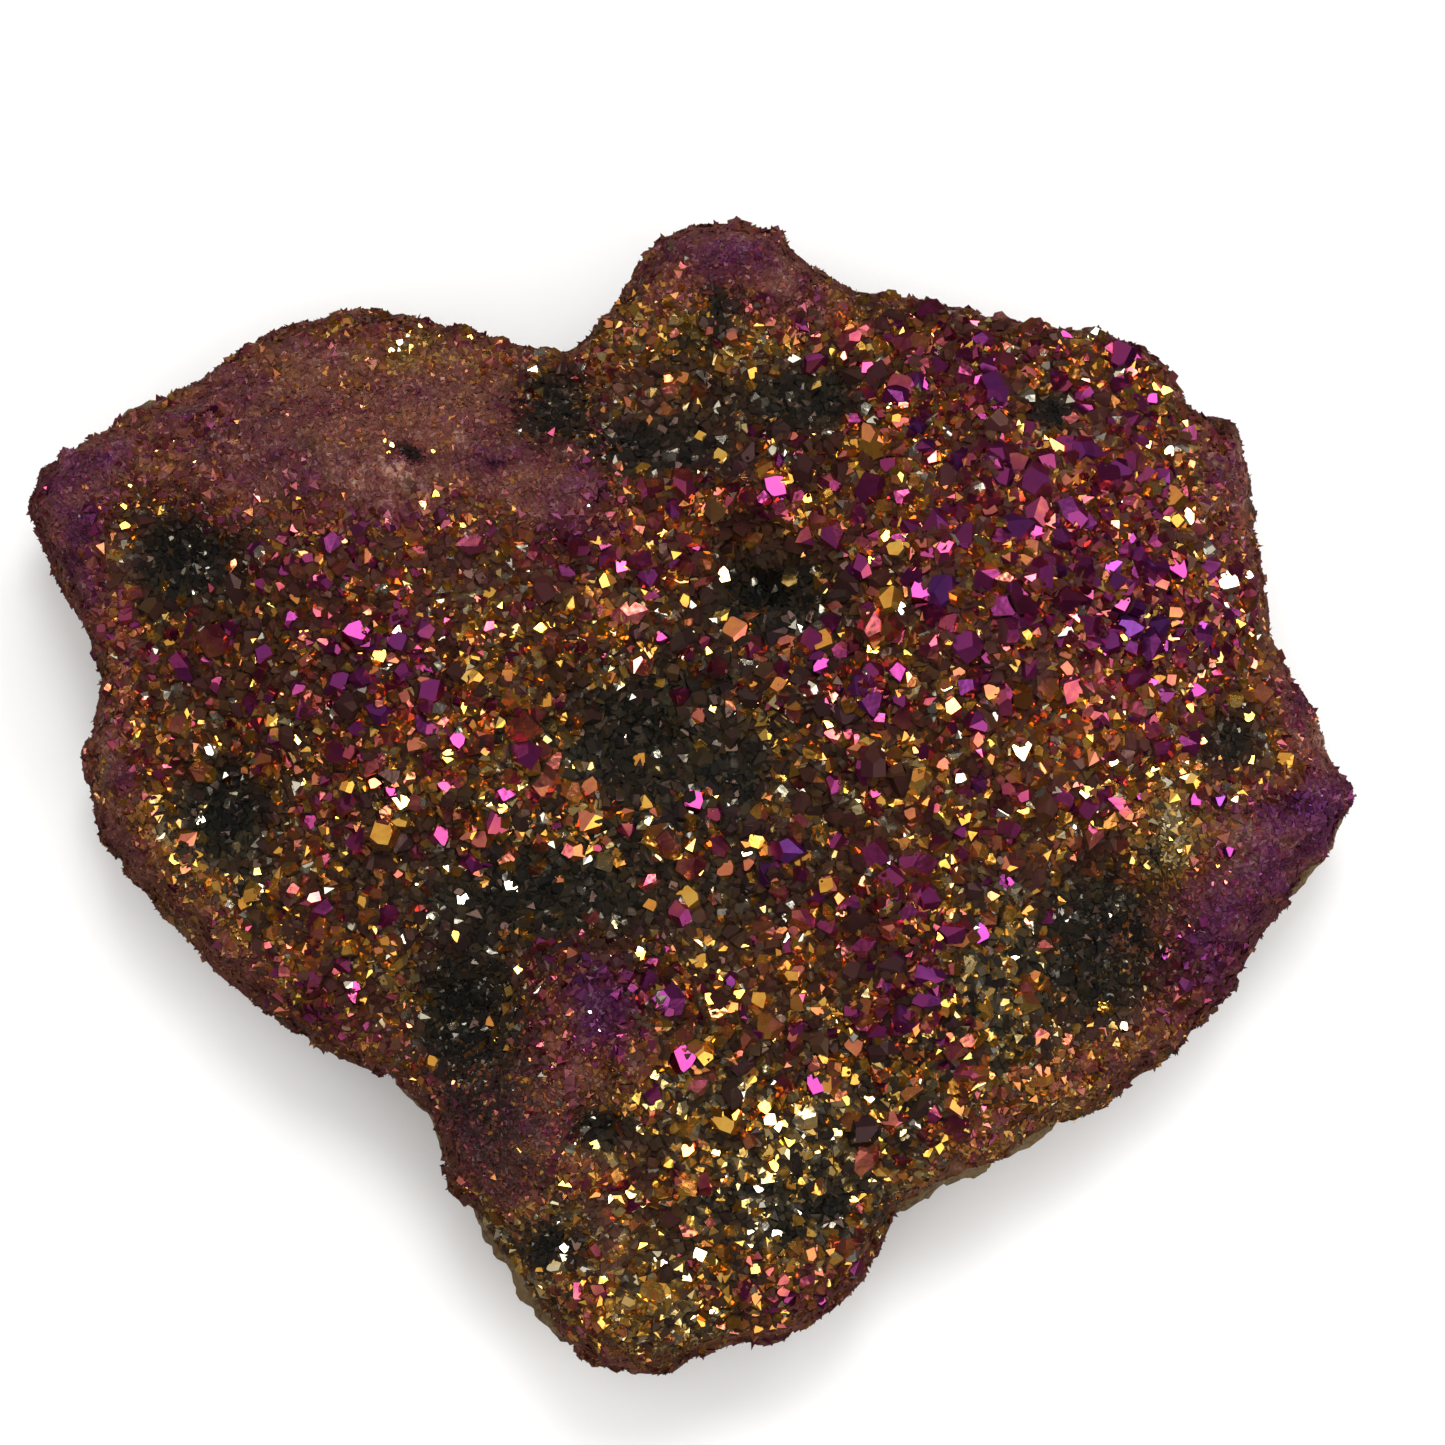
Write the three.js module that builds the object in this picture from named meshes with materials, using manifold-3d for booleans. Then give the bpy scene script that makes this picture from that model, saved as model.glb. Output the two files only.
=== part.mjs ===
// A druzy geode plate: one slab of host rock, sawn flat underneath, whose lumpy upper face and rolled
// edge carry a single unbroken crust of intergrown, metal-coated crystals.
//
// Units are millimetres and +Z is up. The plate lies on its flat foot, which is the plane z = 0, and the
// origin is the middle of the plate's bounding box on that plane.
//
// The outer form is a skin of rings round the plate's centre. Every lattice site on the skin is the tip of
// one crystal and every lattice triangle is a low point between three crystals, so each crystal ends in a
// pyramid of flat faces. Larger single crystals are fused in, and a parting surface under the skin then
// splits the whole into the rock and the crust.

import * as THREE from "three";
import { ImprovedNoise } from "three/addons/math/ImprovedNoise.js";
import { mergeVertices } from "three/addons/utils/BufferGeometryUtils.js";
import Module from "manifold-3d";

const wasm = await Module();
wasm.setup();

// ---------------------------------------------------------------- driving dimensions, mm
const LEVEL = 15.5; // general height of the upper face
const WIDEST = 6.5; // height of the plate's widest line, where the edge rolls over
const WIDEST_DRIFT = 2; // how far that line wanders up and down round the plate
const EDGE_ROLL = 3; // power of the edge's rounding: higher is a flatter top and a tighter roll
const SWELLS = [
  { size: 9, height: 1.1 }, // gentle waves of the upper face, and the smaller bumps on them
  { size: 3.5, height: 0.8 },
];

const CRUST = 1.3; // least thickness of the crystal crust
const RIM_CRUST = 0.05; // thickness of the crust round the rim, as a share of the rim's radius
const GAP = 0.3; // clearance between the crust and the rock that it grew on
const RIM_GAP = 0.01; // the same clearance round the rim, as a share of the rim's radius
const WRAP = 4; // height at which the crust ends on the plate's side
const WRAP_DRIFT = 1.2; // how far that edge wanders up and down
const BARE_TO = 9; // how high bare rock shows where the crust stops short

const RINGS = 15; // rings of crystals from the centre to the widest line
const EDGE_CROWDING = 1.35; // how far the rings crowd towards the rim
const SITE_JITTER = 0.32; // how far a crystal strays from its lattice place, in lattice steps
const COARSE_TIP = 0.95; // height of a crystal tip above the skin, in the coarse middle
const FINE_TIP = 0.35; // the same in the fine druse
const TIP_RANGE = [0.5, 1.3]; // least and greatest tip, as shares of the height usual there
const VALLEY = 0.35; // depth below the skin of the low points, as a share of the tips' height
const RIM_FINENESS = 6; // power that keeps the coarse crystals off the rim

const PARTING_RINGS = 11; // rings of the surface that parts the crust from the rock
const PARTING_CROWDING = 1.6; // how far they crowd towards the rim
const PARTING_REACH = 1.12; // how far past the rim that surface runs, as a share of its radius
const PARTING_SEARCH = { distance: 1.7, points: 8 }; // it stays under the lowest ground this near it
const CEILING = 60; // a height well above the plate, for the parting solid

const TURN = 2 * Math.PI;
const RIM_STEPS = 12; // steps of the rim's curve between two points of the outline
const DRIFT_LOBES = 2; // how often the drift round the plate rises and falls
const DRIFT_PHASE = { widest: 0.5, wrap: 2.5 }; // unlike phases, so that the two drifts don't match
const SEED = 7;

const CENTRE = new THREE.Vector2(0.5, 2); // the rings' centre, from which the whole outline can be seen

// The plate's outline from above, counterclockwise from its eastern point.
const OUTLINE = [
  [36.0, -0.3], [34.3, 1.2], [34.0, 3.2], [32.4, 6.6], [30.9, 8.9], [31.3, 10.7],
  [30.5, 12.5], [30.5, 15.0], [30.1, 18.1], [29.5, 20.1], [26.9, 21.0], [26.4, 22.9],
  [23.6, 24.9], [19.9, 25.5], [15.9, 26.1], [12.9, 27.2], [9.8, 27.1], [7.2, 28.5],
  [5.6, 29.2], [5.0, 30.5], [2.9, 31.0], [-1.4, 30.7], [-2.5, 29.4], [-3.2, 27.8],
  [-5.3, 25.7], [-6.1, 24.2], [-9.3, 24.5], [-12.6, 25.6], [-15.8, 26.1], [-18.7, 26.7],
  [-20.8, 25.8], [-24.1, 24.8], [-26.6, 22.6], [-29.7, 21.4], [-31.6, 19.8], [-34.2, 18.8],
  [-35.9, 16.9], [-35.5, 14.5], [-33.1, 9.5], [-31.8, 6.9], [-32.1, 4.4], [-32.9, 2.6],
  [-32.4, -0.4], [-31.3, -2.9], [-28.1, -6.7], [-24.8, -9.9], [-21.6, -12.5], [-16.4, -15.1],
  [-13.7, -17.9], [-13.3, -20.3], [-10.9, -23.5], [-9.2, -26.6], [-7.3, -29.2], [-4.7, -30.8],
  [-0.6, -30.8], [0.8, -29.4], [4.4, -29.2], [7.9, -27.1], [10.2, -24.2], [10.5, -22.6],
  [13.8, -21.0], [16.5, -19.9], [19.9, -17.6], [22.6, -16.3], [24.1, -14.7], [26.4, -13.5],
  [27.7, -11.5], [29.5, -9.8], [29.9, -8.1], [32.9, -4.8], [34.9, -2.4],
];

// Humps, ridges and lips: where, half-lengths along and across, turn of the long side in degrees, rise.
const HUMPS = {
  northWestRidge: { at: [-19, 17.2], half: [13, 4.2], turn: -3, rise: 4.5 },
  ridgeShoulder: { at: [-7, 15.2], half: [4, 3.2], turn: -20, rise: 2.5 },
  westLip: { at: [-32.6, 11], half: [6.5, 2.6], turn: -63, rise: 2.5 },
  southWestLip: { at: [-28, -3.4], half: [8, 2.8], turn: -60, rise: 2 },
  westHump: { at: [-15.8, 5.6], half: [6, 5.4], turn: 0, rise: 3 },
  middleHump: { at: [-7.1, 7], half: [3.4, 3], turn: 0, rise: 1.6 },
  eastOfMiddleHump: { at: [6.6, 5.6], half: [3.8, 3.4], turn: 0, rise: 2 },
  northKnob: { at: [1.4, 28.4], half: [4.4, 3.4], turn: 0, rise: 3.5 },
  northSpur: { at: [8, 26], half: [3.4, 1.8], turn: -25, rise: 1.5 },
  northEastDome: { at: [18.6, 13], half: [10, 9.5], turn: 0, rise: 4.6 },
  northEastCorner: { at: [23.6, 22.6], half: [3, 2.8], turn: 0, rise: 1.8 },
  eastSpur: { at: [26, 0.4], half: [4, 2], turn: 8, rise: 2.2 },
  eastPoint: { at: [33.6, -0.9], half: [3, 2], turn: 30, rise: 2 },
  southEastLip: { at: [29, -5.6], half: [6, 2.8], turn: 50, rise: 3 },
  southEastHem: { at: [20.4, -15.9], half: [6, 2], turn: 32, rise: 1.2 },
  southHump: { at: [12.6, -11.2], half: [5.2, 4.6], turn: -35, rise: 4 },
  knobCrown: { at: [-4.8, -12.6], half: [4.4, 4.4], turn: 0, rise: 5 },
  knobShoulder: { at: [-9, -18.2], half: [4.8, 5], turn: 0, rise: 3.6 },
  southLobe: { at: [-2.8, -27.6], half: [5, 2.8], turn: 0, rise: 3 },
  southEastLobe: { at: [5.2, -25.8], half: [4, 2.4], turn: 25, rise: 2.4 },
};

// Pits and troughs, in the same terms, with how far they sink.
const PITS = {
  westPit: { at: [-28.1, 13.4], half: [2.8, 2.4], turn: -30, sink: 4.8 },
  westPitFoot: { at: [-27, 10.6], half: [2.6, 2.2], turn: -30, sink: 2.4 },
  leftNook: { at: [-27.4, 5.2], half: [2.2, 2.4], turn: 0, sink: 2 },
  leftPit: { at: [-24.6, -0.6], half: [2.3, 2.9], turn: 0, sink: 5 },
  northTroughWest: { at: [-7.8, 21.3], half: [3, 2.4], turn: 0, sink: 4.4 },
  northTrough: { at: [-1.2, 20.6], half: [5, 2.3], turn: -6, sink: 4 },
  northTroughEast: { at: [6, 22], half: [4, 2.3], turn: 15, sink: 3.4 },
  knobSlot: { at: [1.8, 25.6], half: [1.3, 2], turn: 0, sink: 2 },
  oldSocket: { at: [4, 10.6], half: [2.7, 1.6], turn: -25, sink: 5 },
  middlePit: { at: [-2.7, 3.2], half: [2.9, 2.5], turn: 0, sink: 4.4 },
  middleSlot: { at: [2.6, 1], half: [1.3, 2.8], turn: 0, sink: 4 },
  northEastNook: { at: [19.2, 20.8], half: [1.7, 1.5], turn: 0, sink: 3 },
  eastPit: { at: [28.6, 3.3], half: [2.9, 2.2], turn: 0, sink: 3.6 },
  southTroughWest: { at: [-16.4, -4.6], half: [4, 1.8], turn: -12, sink: 2 },
  southTrough: { at: [-6.6, -5.2], half: [4.6, 2.8], turn: 0, sink: 3.6 },
  southTroughEast: { at: [1.8, -6.8], half: [4.6, 2.2], turn: -8, sink: 2.6 },
  deepPit: { at: [-12.3, -11.3], half: [2.9, 3.2], turn: 20, sink: 6 },
  knobDent: { at: [-4.6, -17.9], half: [2.1, 1.1], turn: 0, sink: 2.6 },
  lobeTroughWest: { at: [-7.2, -24], half: [2.5, 1.8], turn: 0, sink: 3.6 },
  lobeTrough: { at: [-1.4, -23.6], half: [3.8, 1.7], turn: 4, sink: 2.6 },
  lobeTroughEast: { at: [6.8, -22], half: [3.8, 1.7], turn: 12, sink: 3.4 },
  southEastValley: { at: [21.8, -6], half: [3.4, 3.8], turn: 0, sink: 5 },
  southEastValleyFoot: { at: [22.6, -10.4], half: [3.4, 2.8], turn: 30, sink: 3.4 },
};

// Where the druse is fine and almost smooth: broad faces of the ridge, the knobs and the lips.
const FINE_GROUND = {
  northWestFace: { at: [-19, 19.4], half: [13, 5.4], turn: 4 },
  northFace: { at: [1, 28.6], half: [5, 4], turn: 0 },
  knobFace: { at: [-8.6, -17.6], half: [5.6, 6.4], turn: 35 },
  eastFace: { at: [29.4, -5.4], half: [7.4, 3.6], turn: 50 },
};

// Places on the side where the crust stops short and bare rock shows: azimuth and half-width in degrees.
const BARE_SIDES = [
  { azimuth: -8, half: 7 },
  { azimuth: -57, half: 12 },
  { azimuth: -111, half: 7 },
  { azimuth: -128, half: 6 },
  { azimuth: 148, half: 8 },
];

// Large single crystals that stand out of the druse, each on a lattice site in the coarse ground.
const STANDOUTS = {
  count: 48,
  sides: 6,
  apart: 2.9, // least distance between two of them
  radius: [0.75, 1.15],
  lean: 0.5, // greatest lean from the skin's normal, as a slope
  root: 1.1, // depth of the crystal's foot below the skin
  shoulder: 0.35, // height of its prism above the skin, as a share of its radius
  point: 1.15, // height of its pyramid, as a share of its radius
};

// Levels of the rock's side under the widest line: how far out, as shares of the rim's radius, how high,
// and how far each point strays. The last is the foot, which stays flat.
const SIDE_LEVELS = [
  { out: 0.985, z: 4, strayOut: 0.3, strayUp: 0.3 },
  { out: 0.955, z: 2, strayOut: 0.5, strayUp: 0.4 },
  { out: 0.9, z: 0, strayOut: 0.5, strayUp: 0 },
];

// ---------------------------------------------------------------- helpers

THREE.MathUtils.seededRandom(SEED);
const random = () => THREE.MathUtils.seededRandom();
const between = ([low, high]) => THREE.MathUtils.lerp(low, high, random());

const grain = new ImprovedNoise();

const LATHE_AXIS = new THREE.Vector3(0, 1, 0);

// How much a feature counts at a point: 1 at its middle, falling smoothly to nothing.
function share({ at, half, turn }, x, y) {
  const away = new THREE.Vector2(x - at[0], y - at[1]);
  away.rotateAround(new THREE.Vector2(), THREE.MathUtils.degToRad(-turn));
  return Math.exp(-((away.x / half[0]) ** 2) - (away.y / half[1]) ** 2);
}

// The rim as azimuths and radii about CENTRE, from a smooth closed curve through the outline's points. The
// last point is repeated before the first and the first after the last, a turn away.
const rimTurn = new THREE.CatmullRomCurve3(
  OUTLINE.map(([x, y]) => new THREE.Vector3(x - CENTRE.x, y - CENTRE.y, 0)),
  true,
  "catmullrom",
)
  .getPoints(OUTLINE.length * RIM_STEPS)
  .map((p) => ({ azimuth: Math.atan2(p.y, p.x), radius: Math.hypot(p.x, p.y) }))
  .sort((a, b) => a.azimuth - b.azimuth);
const turned = (point, turns) => ({ ...point, azimuth: point.azimuth + turns * TURN });
const rim = [turned(rimTurn.at(-1), -1), ...rimTurn, turned(rimTurn[0], 1)];

function rimRadius(azimuth) {
  const a = azimuth - TURN * Math.round(azimuth / TURN);
  const next = rim.findIndex((point) => point.azimuth > a);
  const along = (a - rim[next - 1].azimuth) / (rim[next].azimuth - rim[next - 1].azimuth);
  return THREE.MathUtils.lerp(rim[next - 1].radius, rim[next].radius, along);
}

// ---------------------------------------------------------------- the form of the skin

function topHeight(x, y) {
  let z = LEVEL;
  for (const hump of Object.values(HUMPS)) z += hump.rise * share(hump, x, y);
  for (const pit of Object.values(PITS)) z -= pit.sink * share(pit, x, y);
  for (const { size, height } of SWELLS) z += height * grain.noise(x / size, y / size, size);
  return z;
}

// A slow wander round the plate, from -1 to 1.
function drift(azimuth, phase) {
  return grain.noise(DRIFT_LOBES * Math.cos(azimuth), DRIFT_LOBES * Math.sin(azimuth), phase);
}

const rollAt = (out) => (1 - Math.min(out, 1) ** EDGE_ROLL) ** (1 / EDGE_ROLL);

function onPlan(out, azimuth) {
  const r = out * rimRadius(azimuth);
  return { x: CENTRE.x + r * Math.cos(azimuth), y: CENTRE.y + r * Math.sin(azimuth) };
}

// A point of the upper skin: spread is 0 at the centre and 1 on the widest line.
function skin(spread, azimuth) {
  const out = 1 - (1 - spread) ** EDGE_CROWDING;
  const { x, y } = onPlan(out, azimuth);
  const widest = WIDEST + WIDEST_DRIFT * drift(azimuth, DRIFT_PHASE.widest);
  return new THREE.Vector3(x, y, THREE.MathUtils.lerp(widest, topHeight(x, y), rollAt(out)));
}

// The skin's outward normal, from points half a lattice step off along the ring and across it.
function skinNormal(spread, azimuth) {
  const step = 0.5 / RINGS;
  const inner = skin(Math.max(spread - step, 0), azimuth);
  const outer = skin(Math.min(spread + step, 1), azimuth);
  const swing = step / Math.max(spread, step);
  const across = skin(spread, azimuth + swing).sub(skin(spread, azimuth - swing));
  return outer.sub(inner).cross(across).normalize();
}

// How high crystal tips stand here: coarse in the middle, fine on the rim and on the fine ground.
function tipHeight(spread, x, y) {
  const fine = Object.values(FINE_GROUND).reduce(
    (most, ground) => Math.max(most, share(ground, x, y)),
    spread ** RIM_FINENESS,
  );
  return THREE.MathUtils.lerp(COARSE_TIP, FINE_TIP, fine);
}

// ---------------------------------------------------------------- lattice of rings

// Ring k of the lattice has 6k sites. Calls each triangle between the rings, counterclockwise.
function eachTriangle(rings, call) {
  const index = (k, i) => (k === 0 ? 0 : 1 + 3 * k * (k - 1) + (i % (6 * k)));
  for (let k = 1; k <= rings; k++)
    for (let sector = 0; sector < 6; sector++)
      for (let j = 0; j < k; j++) {
        const outer = sector * k + j;
        const inner = sector * (k - 1) + j;
        call(index(k, outer), index(k, outer + 1), index(k - 1, inner));
        if (j < k - 1) call(index(k, outer + 1), index(k - 1, inner + 1), index(k - 1, inner));
      }
}

// Calls each site of the lattice with its ring and place on it, in the order of eachTriangle's indices.
function eachSite(rings, call) {
  call(0, 0, 1);
  for (let k = 1; k <= rings; k++) for (let i = 0; i < 6 * k; i++) call(k, i, 6 * k);
}

// ---------------------------------------------------------------- meshes and solids

function solidFrom(positions, indices) {
  const vertProperties = new Float32Array(positions);
  const triVerts = new Uint32Array(indices);
  return new wasm.Manifold(new wasm.Mesh({ numProp: 3, vertProperties, triVerts }));
}

function solidFromPoints(points, triangles) {
  return solidFrom(points.flatMap((p) => [p.x, p.y, p.z]), triangles.flat());
}

function solidFromGeometry(geometry) {
  geometry.deleteAttribute("normal");
  geometry.deleteAttribute("uv");
  const merged = mergeVertices(geometry);
  return solidFrom(merged.attributes.position.array, merged.index.array);
}

function geometryFrom(solid) {
  const mesh = solid.getMesh();
  const geometry = new THREE.BufferGeometry();
  geometry.setAttribute("position", new THREE.BufferAttribute(new Float32Array(mesh.vertProperties), 3));
  geometry.setIndex(new THREE.BufferAttribute(new Uint32Array(mesh.triVerts), 1));
  geometry.computeVertexNormals();
  return geometry;
}

// The largest body of a solid, without the crumbs that a cut can leave.
const mainBody = (solid) => solid.decompose().sort((a, b) => b.volume() - a.volume())[0];

// ---------------------------------------------------------------- the whole stone, crystals and all

function makeStone() {
  const points = [];
  const sites = [];

  // Crystal tips, one to a site. The outermost ring stays on the widest line.
  eachSite(RINGS, (k, i, count) => {
    const stray = k === RINGS ? 0 : SITE_JITTER * between([-1, 1]);
    const spread = Math.max(k + stray, 0) / RINGS;
    const azimuth = (TURN * (i + SITE_JITTER * between([-1, 1]))) / count;
    const foot = skin(spread, azimuth);
    const normal = skinNormal(spread, azimuth);
    const tip = tipHeight(spread, foot.x, foot.y);
    sites.push({ foot, normal, tip });
    points.push(foot.clone().addScaledVector(normal, tip * between(TIP_RANGE)));
  });

  // Low points between three crystals, and the two flat faces that meet along each pair of them.
  const left = new Map();
  const triangles = [];
  eachTriangle(RINGS, (a, b, c) => {
    const low = new THREE.Vector3();
    for (const site of [sites[a], sites[b], sites[c]])
      low.addScaledVector(site.foot, 1 / 3).addScaledVector(site.normal, (-VALLEY * site.tip) / 3);
    points.push(low);
    for (const [p, q] of [[a, b], [b, c], [c, a]]) left.set(`${p},${q}`, points.length - 1);
  });
  for (const [edge, low] of left) {
    const [p, q] = edge.split(",").map(Number);
    const across = left.get(`${q},${p}`);
    if (across === undefined) triangles.push([p, q, low]);
    else triangles.push([p, across, low]);
  }

  // The side under the widest line, level by level, down to the flat foot.
  const around = 6 * RINGS;
  let upper = Array.from({ length: around }, (_, i) => sites.length - around + i);
  for (const { out, z, strayOut, strayUp } of SIDE_LEVELS) {
    const lower = upper.map((above) => {
      const azimuth = Math.atan2(points[above].y - CENTRE.y, points[above].x - CENTRE.x);
      const { x, y } = onPlan(out + (strayOut * between([-1, 1])) / rimRadius(azimuth), azimuth);
      points.push(new THREE.Vector3(x, y, z + strayUp * between([-1, 1])));
      return points.length - 1;
    });
    for (let i = 0; i < around; i++) {
      const next = (i + 1) % around;
      triangles.push([upper[i], lower[i], lower[next]], [upper[i], lower[next], upper[next]]);
    }
    upper = lower;
  }
  points.push(new THREE.Vector3(CENTRE.x, CENTRE.y, 0));
  for (let i = 0; i < around; i++) triangles.push([upper[i], points.length - 1, upper[(i + 1) % around]]);

  return { stone: solidFromPoints(points, triangles), sites };
}

// One large crystal: a six-sided prism with a pointed end, leaning out of the crust at a site.
function standout({ foot, normal }) {
  const { sides, radius, lean, root, shoulder, point } = STANDOUTS;
  const r = between(radius);
  const profile = [
    new THREE.Vector2(0, -root),
    new THREE.Vector2(r, -root),
    new THREE.Vector2(r, shoulder * r),
    new THREE.Vector2(0, (shoulder + point) * r),
  ];
  const crystal = new THREE.LatheGeometry(profile, sides);
  crystal.rotateY(TURN * random());
  const [x, y, z] = [0, 1, 2].map(() => between([-lean, lean]));
  const axis = normal.clone().add(new THREE.Vector3(x, y, z)).normalize();
  crystal.applyQuaternion(new THREE.Quaternion().setFromUnitVectors(LATHE_AXIS, axis));
  crystal.translate(foot.x, foot.y, foot.z);
  return solidFromGeometry(crystal);
}

function chooseStandouts(sites) {
  const coarse = sites.filter((site) => site.tip > (COARSE_TIP + FINE_TIP) / 2);
  const chosen = [];
  while (chosen.length < STANDOUTS.count) {
    const site = coarse[Math.floor(random() * coarse.length)];
    if (chosen.every((other) => other.foot.distanceTo(site.foot) > STANDOUTS.apart)) chosen.push(site);
  }
  return chosen;
}

// ---------------------------------------------------------------- parting the crust from the rock

// How bare the side is at an azimuth: 0 where the crust covers it, 1 where it stops short.
function bareness(azimuth) {
  const degrees = THREE.MathUtils.radToDeg(azimuth);
  return BARE_SIDES.reduce((most, { azimuth: at, half }) => {
    const away = Math.abs(THREE.MathUtils.euclideanModulo(degrees - at + 180, 360) - 180);
    return Math.max(most, 1 - THREE.MathUtils.smoothstep(away, half / 2, (3 * half) / 2));
  }, 0);
}

// The lowest ground near a point, so that a coarse surface under it isn't bared by a narrow pit.
function lowestNear(x, y) {
  const { distance, points } = PARTING_SEARCH;
  const heights = Array.from({ length: points }, (_, i) => {
    const around = (TURN * i) / points;
    return topHeight(x + distance * Math.cos(around), y + distance * Math.sin(around));
  });
  return Math.min(topHeight(x, y), ...heights);
}

// Height of the parting surface: under the crust's thickness, then down the rim to where the crust ends.
function partingHeight(out, azimuth, rimThickness) {
  const { x, y } = onPlan(out, azimuth);
  const wrap = WRAP + WRAP_DRIFT * drift(azimuth, DRIFT_PHASE.wrap);
  const end = THREE.MathUtils.lerp(wrap, BARE_TO, bareness(azimuth));
  return end + Math.max(lowestNear(x, y) - CRUST - end, 0) * rollAt(out / (1 - rimThickness));
}

// Everything above the parting surface, or, for the rock, above a copy of it set back by the clearance.
function abovePart(gap, rimGap) {
  const under = [];
  eachSite(PARTING_RINGS, (k, i, count) => {
    const inside = 1 - (1 - k / (PARTING_RINGS - 1)) ** PARTING_CROWDING;
    const out = k === PARTING_RINGS ? PARTING_REACH : inside;
    const azimuth = (TURN * i) / count;
    const { x, y } = onPlan(out, azimuth);
    under.push(new THREE.Vector3(x, y, partingHeight(out, azimuth, RIM_CRUST + rimGap) - gap));
  });
  const over = under.map((p) => new THREE.Vector3(p.x, p.y, CEILING));
  const n = under.length;
  const triangles = [];
  eachTriangle(PARTING_RINGS, (a, b, c) => triangles.push([a, c, b], [n + a, n + b, n + c]));
  const around = 6 * PARTING_RINGS;
  for (let i = 0; i < around; i++) {
    const here = n - around + i;
    const next = n - around + ((i + 1) % around);
    triangles.push([here, next, n + next], [here, n + next, n + here]);
  }
  return solidFromPoints([...under, ...over], triangles);
}

// ---------------------------------------------------------------- the two sub-parts

const { stone, sites } = makeStone();
const whole = wasm.Manifold.union([stone, ...chooseStandouts(sites).map(standout)]);

const crust = mainBody(whole.intersect(abovePart(0, 0)));
const rock = mainBody(whole.subtract(abovePart(GAP, RIM_GAP)));

// The origin is the middle of the bounding box, on the plane of the foot.
const box = new THREE.Box3(
  new THREE.Vector3(...crust.boundingBox().min).min(new THREE.Vector3(...rock.boundingBox().min)),
  new THREE.Vector3(...crust.boundingBox().max).max(new THREE.Vector3(...rock.boundingBox().max)),
);
const middle = box.getCenter(new THREE.Vector3());

function subPart(name, solid, finish) {
  const mesh = new THREE.Mesh(geometryFrom(solid), new THREE.MeshStandardMaterial(finish));
  mesh.name = name;
  mesh.position.set(-middle.x, -middle.y, 0);
  return mesh;
}

const geode = new THREE.Group();
geode.add(
  subPart("host_rock", rock, { color: 0x7d715c, roughness: 0.9, metalness: 0 }),
  subPart("crystal_crust", crust, { color: 0x6e2a3c, roughness: 0.3, metalness: 0.85 }),
);

export default geode;
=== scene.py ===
# %% [markdown]
# # A druzy geode plate
#
# The real object is a hand-sized slab of rock whose upper face is an unbroken crust of small pointed
# crystals. The crust was coated with a thin film of metal, and the film's thickness decides its colour:
# bare in the pits, gold on the slopes, copper and magenta higher up, and violet on the crests. The pits are
# painted nearly black, which is painted shade over the bare crystal.
#
# This lesson dresses the finished solids. The rock gets a broken, grainy skin, the crust gets a rough bed,
# and tens of thousands of real little crystals are set on that bed, each with its own size, lean and film.

# %% Load the frame
import math

import bmesh
import bpy
import numpy as np
from mathutils import Matrix, Vector, noise
from mathutils.bvhtree import BVHTree
from mathutils.kdtree import KDTree


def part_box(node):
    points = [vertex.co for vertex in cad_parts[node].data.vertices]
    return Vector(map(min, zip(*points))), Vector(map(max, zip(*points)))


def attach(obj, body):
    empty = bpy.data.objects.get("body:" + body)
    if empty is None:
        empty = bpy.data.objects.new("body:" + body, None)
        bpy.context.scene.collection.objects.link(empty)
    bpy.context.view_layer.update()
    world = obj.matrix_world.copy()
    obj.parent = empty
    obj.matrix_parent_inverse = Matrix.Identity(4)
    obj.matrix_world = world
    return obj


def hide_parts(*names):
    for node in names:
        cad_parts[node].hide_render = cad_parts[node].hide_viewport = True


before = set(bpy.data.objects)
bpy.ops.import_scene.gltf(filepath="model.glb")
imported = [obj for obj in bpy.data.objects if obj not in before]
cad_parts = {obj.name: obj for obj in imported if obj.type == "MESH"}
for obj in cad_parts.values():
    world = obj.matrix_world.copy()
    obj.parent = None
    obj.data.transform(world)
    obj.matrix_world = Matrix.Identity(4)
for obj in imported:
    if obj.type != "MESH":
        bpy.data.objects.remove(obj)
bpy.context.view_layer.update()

MM = 0.001
chance = np.random.default_rng(23)
scene = bpy.context.scene
crust_low, crust_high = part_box("crystal_crust")
print("crust box in mm:", [round(v / MM, 1) for v in (*crust_low, *crust_high)])

# %% [markdown]
# ## Camera, floor and light
#
# The plate is looked down on from almost straight above, so that the whole crystal face shows. A long lens
# keeps the far edge the same size as the near one. Metal-coated faces are little mirrors, so they show what
# they face: most see the dim sky, some the broad soft panel, and the few that lean just right see the small
# bright panel and flash. The fill above is left out of their reflections and only lights the floor and
# rock.

# %% The camera
PICTURE_SIDE = 1445  # pixels along each side
PIXELS_PER_MM = 18.55  # at the plate's widest line
FOCAL_PIXELS = 5000
ELEVATION = math.radians(86)
AIM = Vector((1.7, 3.9, 6.5)) * MM  # the point under the middle of the picture
SENSOR = 36.0  # millimetres, as Blender counts a lens

camera_data = bpy.data.cameras.new("camera")
camera_data.sensor_width = SENSOR
camera_data.lens = FOCAL_PIXELS / PICTURE_SIDE * SENSOR
camera = bpy.data.objects.new("camera", camera_data)
scene.collection.objects.link(camera)
towards_camera = Vector((0, -math.cos(ELEVATION), math.sin(ELEVATION)))
distance = FOCAL_PIXELS / PIXELS_PER_MM * MM
camera.location = AIM + towards_camera * distance
camera.rotation_euler = (-towards_camera).to_track_quat("-Z", "Y").to_euler()
camera_data.clip_start = distance / 10
scene.camera = camera
print("camera is", round(distance / MM), "mm from the plate")


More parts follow.
